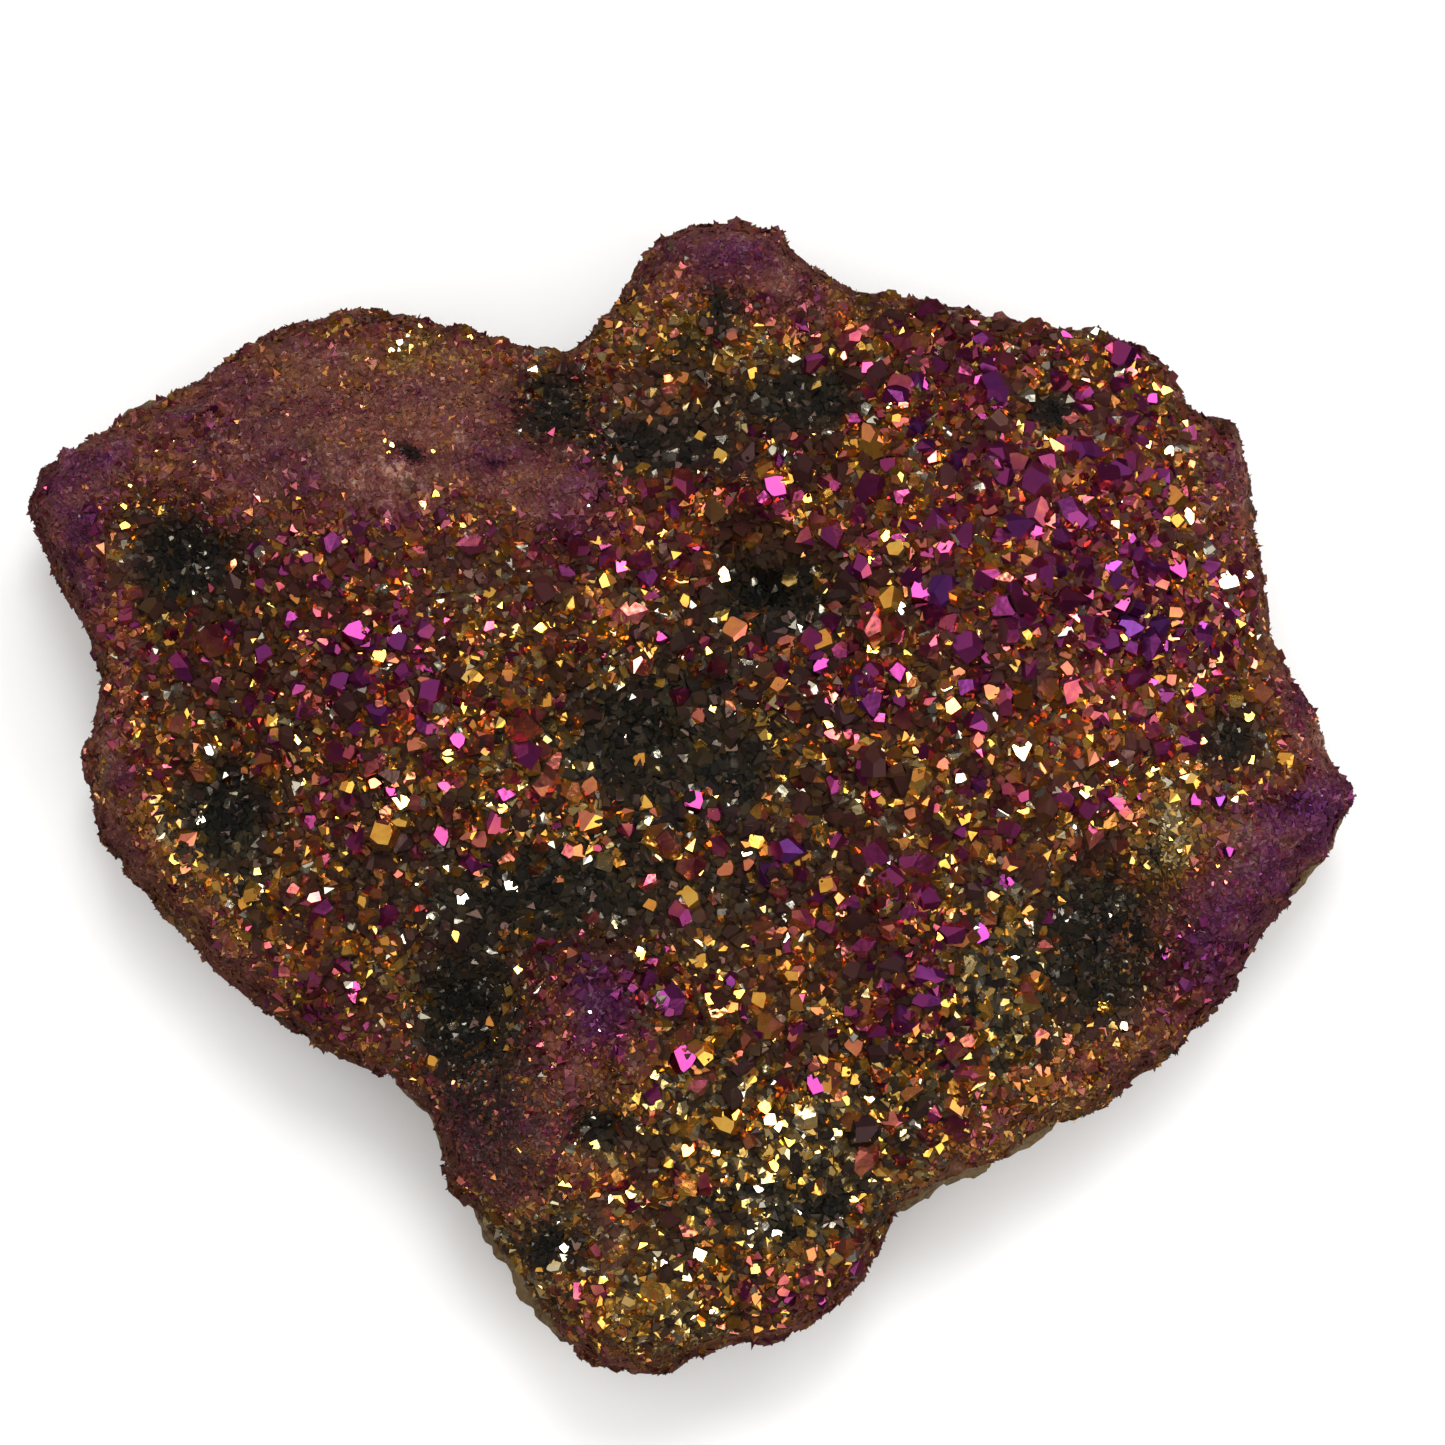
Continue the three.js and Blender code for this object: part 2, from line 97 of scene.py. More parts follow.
# %% Soft panels
def soft_panel(name, direction, away, side, radiance, colour=(1, 1, 1)):
    """A square panel of light that faces the plate and looks as bright as radiance."""
    data = bpy.data.lights.new(name, "AREA")
    data.shape = "SQUARE"
    data.size = side
    data.energy = radiance * math.pi * side**2
    data.color = colour
    panel = bpy.data.objects.new(name, data)
    scene.collection.objects.link(panel)
    panel.location = Vector(direction).normalized() * away
    panel.rotation_euler = (-panel.location).to_track_quat("-Z", "Y").to_euler()
    return panel


CREAM = (1.0, 0.97, 0.92)
PALE_CREAM = (1.0, 0.98, 0.95)
broad_panel = soft_panel("broad_panel", (-0.5, 0.55, 0.75), away=0.8, side=0.7, radiance=0.75, colour=CREAM)
soft_panel("side_panel", (0.8, -0.45, 0.65), away=0.8, side=0.55, radiance=2.7, colour=PALE_CREAM)
window_panel = soft_panel("window_panel", (0.45, 0.6, 0.75), away=0.8, side=0.25, radiance=7.0)
soft_panel("low_window_panel", (-0.6, -0.5, 0.6), away=0.8, side=0.22, radiance=5.0)
soft_panel("bright_panel", (0.05, 0.45, 0.85), away=0.75, side=0.21, radiance=14.0)
fill = soft_panel("floor_fill", (0, 0, 1), away=1.2, side=1.6, radiance=1.6)
fill.visible_glossy = False
print("soft panels:", len(bpy.data.lights))

# %% The sky of the room
sky = bpy.data.worlds.new("room")
sky.use_nodes = True
background = sky.node_tree.nodes["Background"]
direction = sky.node_tree.nodes.new("ShaderNodeTexCoord")
patches = sky.node_tree.nodes.new("ShaderNodeTexNoise")
patches.inputs["Scale"].default_value = 2.2
patches.inputs["Detail"].default_value = 1.5
levels = sky.node_tree.nodes.new("ShaderNodeValToRGB")
dim, lit = levels.color_ramp.elements
dim.position, dim.color = 0.50, (0.026, 0.017, 0.015, 1)
lit.position, lit.color = 0.68, (0.52, 0.48, 0.48, 1)
sky.node_tree.links.new(direction.outputs["Generated"], patches.inputs["Vector"])
sky.node_tree.links.new(patches.outputs["Fac"], levels.inputs["Fac"])
sky.node_tree.links.new(levels.outputs["Color"], background.inputs["Color"])
background.inputs["Strength"].default_value = 1.0
scene.world = sky
scene.view_settings.view_transform = "Standard"

# %% The floor
FLOOR_SIDE = 4.0
bm = bmesh.new()
bmesh.ops.create_grid(bm, x_segments=1, y_segments=1, size=FLOOR_SIDE / 2)
floor_mesh = bpy.data.meshes.new("floor")
bm.to_mesh(floor_mesh)
bm.free()
floor = bpy.data.objects.new("floor", floor_mesh)
scene.collection.objects.link(floor)
floor.visible_glossy = False
print("the floor is", FLOOR_SIDE, "m across")

# %% [markdown]
# ## A bed to grow crystals on
#
# The crust's solid has big plain pyramids. On the real crust a crystal is between a quarter of a millimetre
# and two millimetres across, so the solid is first turned into an even, rounded bed. Subdividing the solid
# would keep its long thin triangles, and the noise laid on later would follow them. A voxel remesh gives
# cells of one size all over, and smoothing melts the pyramids down to the lumps that they stand on. The
# remesh works on a copy, because the frame's own meshes are never changed.

# %% A merged copy, remeshed and smoothed
SAME_POINT = 0.001 * MM


def rounded_copy(node, name, cell, passes):
    """A new object with the node's form in even cells, its small corners melted away."""
    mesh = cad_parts[node].data.copy()
    mesh.name = name
    mesh.materials.clear()
    bm = bmesh.new()
    bm.from_mesh(mesh)
    bmesh.ops.remove_doubles(bm, verts=bm.verts, dist=SAME_POINT)
    bm.to_mesh(mesh)
    bm.free()
    piece = bpy.data.objects.new(name, mesh)
    scene.collection.objects.link(piece)
    remesh = piece.modifiers.new("remesh", "REMESH")
    remesh.mode = "VOXEL"
    remesh.voxel_size = cell
    smooth = piece.modifiers.new("smooth", "SMOOTH")
    smooth.iterations = passes
    depsgraph = bpy.context.evaluated_depsgraph_get()
    baked = bpy.data.meshes.new_from_object(piece.evaluated_get(depsgraph))
    piece.modifiers.clear()
    piece.data = baked
    baked.name = name
    print(name, "has", len(baked.vertices), "vertices")
    return piece


bed = rounded_copy("crystal_crust", "druse_bed", cell=0.42 * MM, passes=10)
rock = rounded_copy("host_rock", "rock_body", cell=0.5 * MM, passes=3)
SUNK = 0.25 * MM  # the bed lies this far inside the solid, so the crystals on it end at the solid's face


# %% Mesh arrays
def corners(mesh):
    """The mesh's vertex positions as an array."""
    flat = np.empty(len(mesh.vertices) * 3)
    mesh.vertices.foreach_get("co", flat)
    return flat.reshape(-1, 3)


def corner_normals(mesh):
    """The mesh's vertex normals as an array."""
    flat = np.empty(len(mesh.vertices) * 3)
    mesh.vertex_normals.foreach_get("vector", flat)
    return flat.reshape(-1, 3)


def set_corners(mesh, positions):
    """The mesh's vertices moved to an array of positions."""
    mesh.vertices.foreach_set("co", positions.ravel())
    mesh.update()


def edge_ends(mesh):
    """The two vertices of each edge."""
    flat = np.empty(len(mesh.edges) * 2, dtype=int)
    mesh.edges.foreach_get("vertices", flat)
    return flat.reshape(-1, 2)


def averaged(values, ends, passes):
    """Each vertex's value moved to the mean of its neighbours', over and over."""
    count = np.bincount(ends.ravel(), minlength=len(values)).astype(float)
    for _ in range(passes):
        total = np.zeros_like(values)
        for here, there in ((0, 1), (1, 0)):
            for axis in range(values.shape[1]):
                total[:, axis] += np.bincount(ends[:, here], values[ends[:, there], axis], len(values))
        values = total / count[:, None]
    return values


# %% [markdown]
# ## Where the ground is high, hollow, fine or coarse
#
# The colours and crystal sizes follow the lie of the ground, so that is measured first. Blender's own
# pointiness sees only the nearest edges, and the humps here are many cells wide. So a vertex's convexity is
# taken as how far it stands out of a much smoother copy of the same surface: positive on crests, negative
# in pits.

# %% Convexity of the bed
bed_at = corners(bed.data)
bed_normal = corner_normals(bed.data)
bed_at -= bed_normal * SUNK
bed_ends = edge_ends(bed.data)
melted = averaged(bed_at, bed_ends, passes=90)
convexity = ((bed_at - melted) * bed_normal).sum(axis=1) / MM
convexity = averaged(convexity[:, None], bed_ends, passes=6)[:, 0]
print("convexity in mm, low to high:", np.percentile(convexity, [2, 25, 50, 75, 98]).round(2))

# %% [markdown]
# ## Maps dabbed on with a soft brush
#
# Zones are soft ellipses laid over the plan, in millimetres from the plate's middle: where each is, its
# half lengths, the turn of its long side, and how strongly it counts. Adding a few dozen of them paints a
# map in the way one would dab colour on with a brush. A painted image would hold the map too, but it
# couldn't be read or changed as plainly. The plan is the one the camera sees, so that high ground, which
# shows a little further out than it lies, still gets its colour in the right place.

# %% The plan as the camera sees it
PLATE_COLUMN, PLATE_ROW = 691.5, 798  # the pixel over the plate's middle
PLAN_PIXELS_PER_MM = 18.5
across_view = Vector((1, 0, 0))
up_view = towards_camera.cross(across_view)


def seen_plan(position):
    """Where points show, in millimetres to the right of and above the plate's middle."""
    offset = position - np.array(camera.location)
    zoom = FOCAL_PIXELS / -(offset @ np.array(towards_camera))
    column = PICTURE_SIDE / 2 + zoom * (offset @ np.array(across_view))
    row = PICTURE_SIDE / 2 - zoom * (offset @ np.array(up_view))
    return np.stack([column - PLATE_COLUMN, PLATE_ROW - row], axis=1) / PLAN_PIXELS_PER_MM


# %% A map made of soft ellipses
def zone_map(zones, plan):
    """The sum of the zones at each point of plan, in millimetres."""
    total = np.zeros(len(plan))
    for x, y, half_x, half_y, turn, amount in zones:
        c, s = math.cos(math.radians(turn)), math.sin(math.radians(turn))
        along = ((plan[:, 0] - x) * c + (plan[:, 1] - y) * s) / half_x
        across = ((plan[:, 1] - y) * c - (plan[:, 0] - x) * s) / half_y
        total += amount * np.exp(-(along**2) - across**2)
    return total


# %% Where the crystals are fine, and where they are big
FINE_GROUND = (
    (-19, 20.5, 13, 5.6, 4, 1.3),  # north-west ridge and its outer slope
    (-8, 16.8, 4.5, 2.4, -20, 0.9),
    (-33.5, 14, 2.6, 7, -10, 0.9),  # western point
    (-31.5, 1, 2.0, 6, 0, 0.9),  # south-west lip
    (-26.5, -8, 9, 2.2, -48, 1.0),
    (-10.4, -17.4, 4.6, 7.5, 25, 1.2),  # west face of the southern knob
    (2.6, 28.8, 6.6, 3.0, -15, 1.2),  # northern knob
    (31, -4.6, 4.6, 7.0, -42, 1.2),  # south-east lip
    (19.5, -17, 9, 2.2, 33, 1.0),  # south-east hem
    (-3.5, -30, 6.5, 1.8, 0, 0.5),  # southern lobe
    (-5.0, -12.5, 2.2, 3.2, 0, 1.0),  # crown of the knob
    (29.6, 17.0, 1.8, 4.4, 0, 1.3),  # eastern rim
    (33.2, 3.7, 3.8, 1.2, -61, 1.2),
    (25.9, -1.8, 1.2, 3.0, 0, 0.8),  # granular band beside the south-east pit
    (22.6, -8.2, 2.8, 3.4, 0, 0.6),  # the floor of that pit
)
BIG_GROUND = (
    (18.5, 12.5, 11, 11, 0, 1.0),  # north-east dome
    (2, 13, 7, 6, 0, 0.6),
    (8, 0, 9, 8, 0, 0.6),
    (-10, 1, 10, 6, 0, 0.45),
    (10, -13, 6, 5, 0, 0.6),
    (-1, -14, 4, 5, 0, 0.3),
)
print("zones of fine and of big crystals:", len(FINE_GROUND), "and", len(BIG_GROUND))

# %% [markdown]
# ## Where the film is thick, thin or missing
#
# Film thickness runs from 0, bare, to 1, the thickest. Left to height alone, the colours would lie in plain
# bands, and the real ones wander with the vapour's flow. So zones steer them. The first list thickens the
# film towards violet, and the second thins it towards gold. The next three leave crystals bare and dark:
# the pits and the holes, whose black is painted shade over bare crystal, and zones of painted shade, where
# an amount below 0 paints light instead. The last three tell where brown dust lies on it, where the bare
# crystal is a lighter mauve, partly painted light, and where fine grains glitter.

# %% Thicker and thinner film
VIOLET_ZONES = (
    (-21, 9, 7, 6, 0, 0.06),
    (-18, 18.5, 10, 4.5, 0, 0.02),
    (29.4, 19.5, 1.6, 2.4, 0, 0.12),
    (32.6, 4.4, 2.6, 1.0, -61, 0.16),
    (19.9, 12.9, 11, 13, 0, 0.03),
    (22.6, 12.9, 4, 3.2, 0, 0.05),
    (25.3, 8.5, 3.2, 3.2, 0, 0.08),
    (14.5, 23.1, 4.3, 2.7, 0, 0.06),
    (3.7, 17.2, 3.2, 2.2, 0, 0.05),
    (31.0, -4.5, 3.2, 5.5, -35, 0.16),
    (27.5, -9.5, 2.5, 2.5, 0, 0.12),
    (34, -0.3, 2.0, 1.4, 0, 0.26),
    (11.3, -12, 4.3, 3.8, 0, 0.12),
    (-13.6, 14.5, 10.8, 2.4, 0, 0.07),
    (-6, 13.7, 3.2, 2.7, 0, 0.08),
    (-33, 15, 2.7, 4.3, 0, 0.13),
    (-15.8, 5.8, 3.5, 5.4, 0, 0.10),
    (2.4, 29.2, 3, 1.4, 0, 0.10),
    (-4.8, -11.2, 1.5, 2.4, 0, 0.32),
    (7.5, 5.8, 3.2, 2.2, 0, 0.08),
)
GOLD_ZONES = (
    (-15, 24.2, 2.2, 1.4, 0, -0.2),
    (-8.5, 2, 6, 6, 0, -0.06),
    (3.5, 6, 7, 6, 0, -0.05),
    (-10.8, -17, 4, 7, 25, -0.04),
    (-9, -25, 3, 4, 0, -0.2),
    (-1.7, 24.8, 3.2, 2.2, 0, -0.14),
    (-27.5, -5, 2, 7, 40, -0.12),
    (-25.2, -3.5, 5.5, 1.6, -56, -0.10),
    (-1.6, -28.0, 3.6, 2.2, 0, -0.28),
    (4.5, -21.7, 5, 4, 0, -0.18),
    (26.0, -2.0, 1.4, 3.0, 0, -0.28),
    (16.7, -10.1, 1.6, 3.4, 0, -0.25),
    (-6, 0, 9, 5, 0, -0.06),
    (0, -16, 4, 4, 0, -0.10),
    (9, -18, 5, 5, 0, -0.14),
    (16, -12, 6, 6, 0, -0.10),
    (20, -17.5, 7, 2, 33, -0.12),
)

# %% Pits, holes and painted shade
# pits and holes are sunk into the bed, and their crystals are left bare and nearly black: painted shade
# over bare crystal
PIT_ZONES = (
    (-7.9, 21.2, 2.2, 2.0, 0, 0.9),
    (-2.5, 18.9, 3.6, 1.5, 0, 0.8),
    (6.1, 21.5, 3.6, 1.7, 0, 0.8),
    (-27.4, 12.9, 2.6, 2.3, 0, 1.1),
    (-25.0, -0.9, 1.9, 2.6, 0, 1.1),
    (-9.3, -5.2, 6.5, 1.9, 0, 0.75),
    (-12.2, -11.7, 2.1, 3.0, 0, 1.1),
    (-10.8, -17, 3.2, 5.5, 25, 0.25),
    (-3.1, 2.6, 2.5, 2.8, 0, 0.8),
    (2.6, 1.0, 1.0, 1.8, 0, 0.9),
    (4.2, 10.7, 2.8, 1.7, 0, 1.0),
    (19.4, 20.9, 1.4, 1.2, 0, 1.0),
    (29.1, 3.1, 1.8, 1.8, 0, 0.9),
    (22.4, -7.8, 3.2, 4.0, 0, 0.8),
    (-7.4, -24.4, 1.7, 1.3, 0, 1.0),
    (-4.9, -17.9, 1.3, 0.9, 0, 0.8),
    (7.5, -22.5, 2.8, 1.4, 0, 0.8),
    (1.5, 26.6, 1.2, 1.7, 0, 0.7),
)
HOLES = (
    (-15.3, 18.8, 1.1, 0.5, -15, 1.0),
    (-10.6, 18.2, 0.7, 0.4, 0, 0.6),
    (-4.9, -17.9, 1.3, 0.8, 0, 0.8),
)
# painted shade: in these zones more crystals are left bare and dark, less grit lies, the coat of fine
# crystals is thinner and bare crystal is darker; an amount below 0 paints light, as fewer are left bare
PAINTED_SHADE_ZONES = (
    (20, 12, 9, 10, 0, -0.6),  # an amount below 0 keeps the shade off open ground
    (25, 5, 4, 6, 0, -0.5),
    (-9, 4, 4, 4, 0, -0.6),
    (-20, 7, 7, 8, 0, 0.3),
    (6, 5, 12, 11, 0, 0.4),
    (-24.4, 8.0, 6.0, 5.5, 0, 0.35),
    (-18.3, -2.0, 5.0, 4.0, 0, 0.5),
    (-0.8, 3.5, 4.5, 5.0, 0, 0.95),
    (3.0, -3.0, 5.0, 5.0, 0, 0.85),
    (-7.0, -7.0, 7.5, 4.0, 0, 0.75),
    (7.5, 10.5, 5.0, 4.0, 0, 0.6),
    (16.0, 5.0, 5.0, 4.0, 0, 0.4),
    (20.5, -9.0, 5.0, 5.0, 0, 0.75),
    (-10.5, -12.0, 3.5, 4.0, 0, 0.7),
    (-11.0, -17.5, 4.2, 7.0, 25, 0.8),
    (2.0, 19.5, 8.0, 4.0, 0, 0.5),
)

# %% Dust, mauve ground with painted light, and glitter
DUSTY_ZONES = (
    (-16.6, 17.2, 3.4, 2.0, 0, 0.3),  # sandy dent on the north-west ridge
    (-11.4, 19.4, 2.2, 1.2, 0, 0.3),
    (29.8, 17.0, 1.5, 4.4, 0, 0.2),  # pale eastern rim
    (33.3, 3.5, 3.4, 1.0, -61, 0.25),
    (34.2, -5.5, 0.6, 4.0, -30, 0.5),
    (-11.0, -17.5, 4.0, 6.5, 25, 0.25),  # the knob's matte south-west slope
)
# bare crystal here is a lighter mauve: partly its own tint, partly painted light
MAUVE_AND_LIGHT_ZONES = (
    (19.5, 12.5, 9.5, 9.5, 0, 1.0),
    (26.5, 6, 4.5, 6, 0, 0.8),
    (-14, 13, 11, 4, 0, 0.5),
    (28, -9, 4, 4, 0, 0.6),
)
GLITTER_ZONES = (
    (-3.3, -28.0, 4.0, 1.6, 0, 0.7),  # the southern lobe's golden end
    (-24.2, -4.5, 5.5, 1.5, -56, 0.8),  # golden slope above the south-west lip
    (-7.5, -17.2, 0.7, 1.6, 10, 0.9),
    (25.9, -1.8, 1.2, 3.0, 0, 0.5),
    (-5.0, -14.0, 2.0, 2.5, 0, 0.3),
    (29.6, 17.0, 1.7, 4.4, 0, 0.45),
    (33.2, 3.7, 3.6, 1.2, -61, 0.45),
    (31.0, -4.5, 3.0, 5.0, -35, 0.12),
    (-15, 24.5, 4, 1.0, 0, 0.3),
    (-1.7, 24.8, 3.2, 2.2, 0, 0.3),
    (19.5, -17, 8, 2.0, 33, 0.5),
)
print("zones of the film:", len(VIOLET_ZONES + GOLD_ZONES + PIT_ZONES + HOLES + PAINTED_SHADE_ZONES))

# %% Cloudy noise, and how fine the ground is
ROUGHNESS, LACUNARITY, OCTAVES = 0.7, 2.1, 3
CLEARLY_FINE = 0.3


def fbm(points, size, seed):
    """Cloudy noise from about -1 to 1, at points in metres, with lumps of the given size. Each use has its
    own seed, so that no two of its patterns match."""
    place = points / size + seed
    return np.array([noise.fractal(p, ROUGHNESS, LACUNARITY, OCTAVES) for p in place])


def swells(position):
    """Long low ridges, about -1 to 1, that run across the fine ground."""
    return fbm(position * [0.8, 2.0, 1], size=4.5 * MM, seed=5.2)


def fineness(position, normal):
    """How fine the ground is, 0 to 1: fine on the listed ground and on the steep outer side."""
    plan = seen_plan(position)
    steep = np.clip((0.55 - normal[:, 2]) / 0.35, 0, 1)
    ragged = 0.35 * fbm(position, size=3.5 * MM, seed=1.3) * (1 - 0.7 * steep)
    return np.clip(np.maximum(zone_map(FINE_GROUND, plan), steep) + ragged, 0, 1)


# %% [markdown]
# ## Small relief
#
# The bed is too smooth to be believed, above all where the crystals are fine. Coarse ground gets soft lumps
# as wide as a crystal. Fine ground gets sharper creases, made by folding noise over at its middle value,
# because the druse there grew over small cracks and ledges. A bump in the finish would be less work, but it
# wouldn't roughen the outline or shade one ledge with the next, so the corners themselves are moved.

# %% Lumps on coarse ground, creases on fine ground
bed_fine = fineness(bed_at, bed_normal)
in_pit = np.clip(zone_map(PIT_ZONES, seen_plan(bed_at)), 0, 1)
lumps = 0.12 * fbm(bed_at, size=1.3 * MM, seed=5.5) - 0.5 * in_pit
outer_side = np.clip((0.5 - bed_normal[:, 2]) / 0.4, 0, 1)
folds = np.abs(fbm(bed_at * [1, 1.6, 1], size=2.4 * MM, seed=9.2))
creases = 0.18 - (0.5 + 0.2 * outer_side) * folds + 0.10 * fbm(bed_at, size=0.8 * MM, seed=6.1)
creases += 0.40 * swells(bed_at) * (1 - outer_side) - 1.2 * zone_map(HOLES, seen_plan(bed_at))
bed_at = bed_at + bed_normal * ((lumps * (1 - bed_fine) + creases * bed_fine) * MM)[:, None]
set_corners(bed.data, bed_at)
bed_normal = corner_normals(bed.data)
print("creases in mm, low to high:", np.percentile(creases, [2, 50, 98]).round(2))

# %% [markdown]
# ## Scattering seeds
#
# Crystals crowd each other but don't share a seed. Plain scattering would leave clumps and bald spots, and
# a grid would show its rows. So random points thrown on the surface are kept only where no earlier one is
# too near, the largest crystals first. That gives the even but unordered packing of a druse. The crust's
# hidden underside gets none: a short ray along the surface's normal would hit the rock there.

# %% The open triangles of the bed
bed.data.calc_loop_triangles()
triangle_flat = np.empty(len(bed.data.loop_triangles) * 3, dtype=int)
bed.data.loop_triangles.foreach_get("vertices", triangle_flat)
triangles = triangle_flat.reshape(-1, 3)
rock_tree = BVHTree.FromObject(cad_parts["host_rock"], bpy.context.evaluated_depsgraph_get())
BACKED = 1.6 * MM  # ground that faces rock nearer than this is hidden
vertex_open = np.array([
    rock_tree.ray_cast(Vector(p), Vector(n), BACKED)[0] is None for p, n in zip(bed_at, bed_normal)
])
open_triangles = triangles[vertex_open[triangles].all(axis=1)]
edge_1 = bed_at[open_triangles[:, 1]] - bed_at[open_triangles[:, 0]]
edge_2 = bed_at[open_triangles[:, 2]] - bed_at[open_triangles[:, 0]]
triangle_area = np.linalg.norm(np.cross(edge_1, edge_2), axis=1) / 2
print("open surface of the crust:", round(triangle_area.sum() / MM**2), "square mm")

# Normals of a smoother copy aim the crystals, so that they follow the lumps and not the grain.
aim_normal = averaged(bed_normal, bed_ends, passes=2)
aim_normal /= np.linalg.norm(aim_normal, axis=1)[:, None]


# %% Throwing points
def throw(count):
    """Random points on the open surface: position, normal and convexity."""
    pick = chance.choice(len(open_triangles), count, p=triangle_area / triangle_area.sum())
    a, b = chance.random((2, count))
    fold = a + b > 1
    a[fold], b[fold] = 1 - a[fold], 1 - b[fold]
    share = np.stack([1 - a - b, a, b], axis=1)
    ids = open_triangles[pick]
    position = (bed_at[ids] * share[:, :, None]).sum(axis=1)
    normal = (aim_normal[ids] * share[:, :, None]).sum(axis=1)
    normal /= np.linalg.norm(normal, axis=1)[:, None]
    return position, normal, (convexity[ids] * share).sum(axis=1)


# %% Keeping the points that have room
taken = []  # (position, radius) of every crystal so far


def keep_with_room(position, radius, crowding):
    """Indices of the points that stay, when none may be nearer another than crowding times both radii."""
    if taken:
        tree = KDTree(len(taken))
        for i, (p, _) in enumerate(taken):
            tree.insert(p, i)
        tree.balance()
    cell = 2 * radius.max() * crowding
    grid = {}
    kept = []
    for i, (p, r) in enumerate(zip(position, radius)):
        if taken:
            _, near, gap = tree.find(p)
            if gap < crowding * taken[near][1]:
                continue
        key = tuple((p // cell).astype(int))
        free = True
        for dx in (-1, 0, 1):
            for dy in (-1, 0, 1):
                for dz in (-1, 0, 1):
                    for other in grid.get((key[0] + dx, key[1] + dy, key[2] + dz), ()):
                        d = position[other] - p
                        if d[0] * d[0] + d[1] * d[1] + d[2] * d[2] < (crowding * (r + radius[other])) ** 2:
                            free = False
                            break
        if free:
            grid.setdefault(key, []).append(i)
            kept.append(i)
    taken.extend((position[i], radius[i]) for i in kept)
    return np.array(kept)


# %% [markdown]
# ## Crystal shapes
#
# A point of such a druse is a six-sided prism closed by six sloping faces, and the three that grew slowest
# are the largest, so the tip often looks three-sided. A plain cone would have six equal faces that meet in
# one needle point. A prism from the same operator, cut by one plane for each end face, gives the real form:
# planes at unlike heights make kites, triangles and chisel tips. A few dozen cut points are enough, because
# each copy is also turned, leant and stretched.

# %% A mesh as a template
def template(bm):
    """The corners, the faces and the faces' normals of a mesh, which is then freed."""
    bmesh.ops.recalc_face_normals(bm, faces=bm.faces)
    bm.verts.index_update()
    positions = np.array([v.co[:] for v in bm.verts])
    faces = [[v.index for v in f.verts] for f in bm.faces]
    normals = np.array([f.normal[:] for f in bm.faces])
    bm.free()
    return positions, faces, normals


# %% Cutting one crystal point
ON_PLANE = 0.0001  # in the point's own units, where its radius is 1
SAME_CORNER = 0.001


def crystal_point(sides, slope, unevenness, alternate):
    """Corner positions and faces of one point of radius 1, its shoulder at z = 0."""
    bm = bmesh.new()
    foot, top = -1.3, 2.2
    bmesh.ops.create_cone(
        bm, cap_ends=True, segments=sides, radius1=1, radius2=1, depth=top - foot,
        matrix=Matrix.Translation((0, 0, (top + foot) / 2)),
    )
    for k in range(sides):
        around = 2 * math.pi * (k + 0.5) / sides
        lean = math.radians(slope + chance.normal(0, 2))
        reach = math.cos(math.pi / sides) * math.tan(lean)
        lowered = unevenness * chance.random() + (0 if k % 2 else -alternate)
        bisected = bmesh.ops.bisect_plane(
            bm,
            geom=bm.verts[:] + bm.edges[:] + bm.faces[:],
            dist=ON_PLANE,
            plane_co=(0, 0, reach - lowered),
            plane_no=(
                math.cos(around) * math.sin(lean), math.sin(around) * math.sin(lean), math.cos(lean)
            ),
            clear_outer=True,
        )
        rim = [e for e in bisected["geom_cut"] if isinstance(e, bmesh.types.BMEdge)]
        if rim:
            bmesh.ops.contextual_create(bm, geom=rim)
    bmesh.ops.remove_doubles(bm, verts=bm.verts, dist=SAME_CORNER)
    return template(bm)


# %% A point too small to show its prism
def small_point(sides, slope, foot):
    """Sloping faces alone, which meet a little off the axis."""
    bm = bmesh.new()
    top = math.tan(math.radians(slope)) * math.cos(math.pi / sides)
    made = bmesh.ops.create_cone(
        bm, cap_ends=True, segments=sides, radius1=1 - foot / top, radius2=0, depth=top - foot,
        matrix=Matrix.Translation((0, 0, (top + foot) / 2)),
    )
    tip = max(made["verts"], key=lambda v: v.co.z)
    tip.co.x += chance.normal(0, 0.22)
    tip.co.y += chance.normal(0, 0.22)
    tip.co.z *= chance.uniform(0.85, 1.25)
    return template(bm)


# %% The points that are copied
BIG_POINTS = [crystal_point(sides=6, slope=50, unevenness=0.5, alternate=0.22) for _ in range(32)]
SMALL_POINTS = [small_point(sides, slope=52, foot=-0.6) for sides in (3, 3, 4, 4, 4, 5, 5, 6) * 2]
FINE_POINTS = [small_point(sides, slope=50, foot=-0.6) for sides in (3, 3, 3, 4, 4, 4)]
print("faces of a big point:", [len(p[1]) for p in BIG_POINTS])

# %% [markdown]
# ## Leaning and turning
#
# No two crystals of a druse stand quite parallel, and few stand upright on the ground. If each copy kept
# the ground's normal, whole slopes would flash at once, as a tiled floor does. So each axis is leant at
# random, and each crystal is turned about its axis.

# %% Axes
def leant(normal, spread):
    """The normals, each leant by a random amount."""
    axis = normal + chance.normal(0, 1, normal.shape) * spread
    axis /= np.linalg.norm(axis, axis=1)[:, None]
    return axis


def turns_to(axis):
    """For each axis, the three directions of a crystal that points along it, turned at random."""
    other = np.cross(axis, chance.normal(0, 1, axis.shape))
    other /= np.linalg.norm(other, axis=1)[:, None]
    return np.stack([other, np.cross(axis, other), axis], axis=1)


# %% [markdown]
# ## How each crystal is coated
#
# The film is made thickest where crystals stand in the open. In the pits, and on the faces of crystals that
# look up little, the coat is thin or missing, which leaves them dark: that is painted shade, over bare
# crystal in the pits. One noise over the whole plate would mix the colours evenly, so the ground gives
# each crystal its film, and its size and a little chance are added. Some crystals stay bare, a few of the
# small ones look silvery, and grit dulls the finest ground.

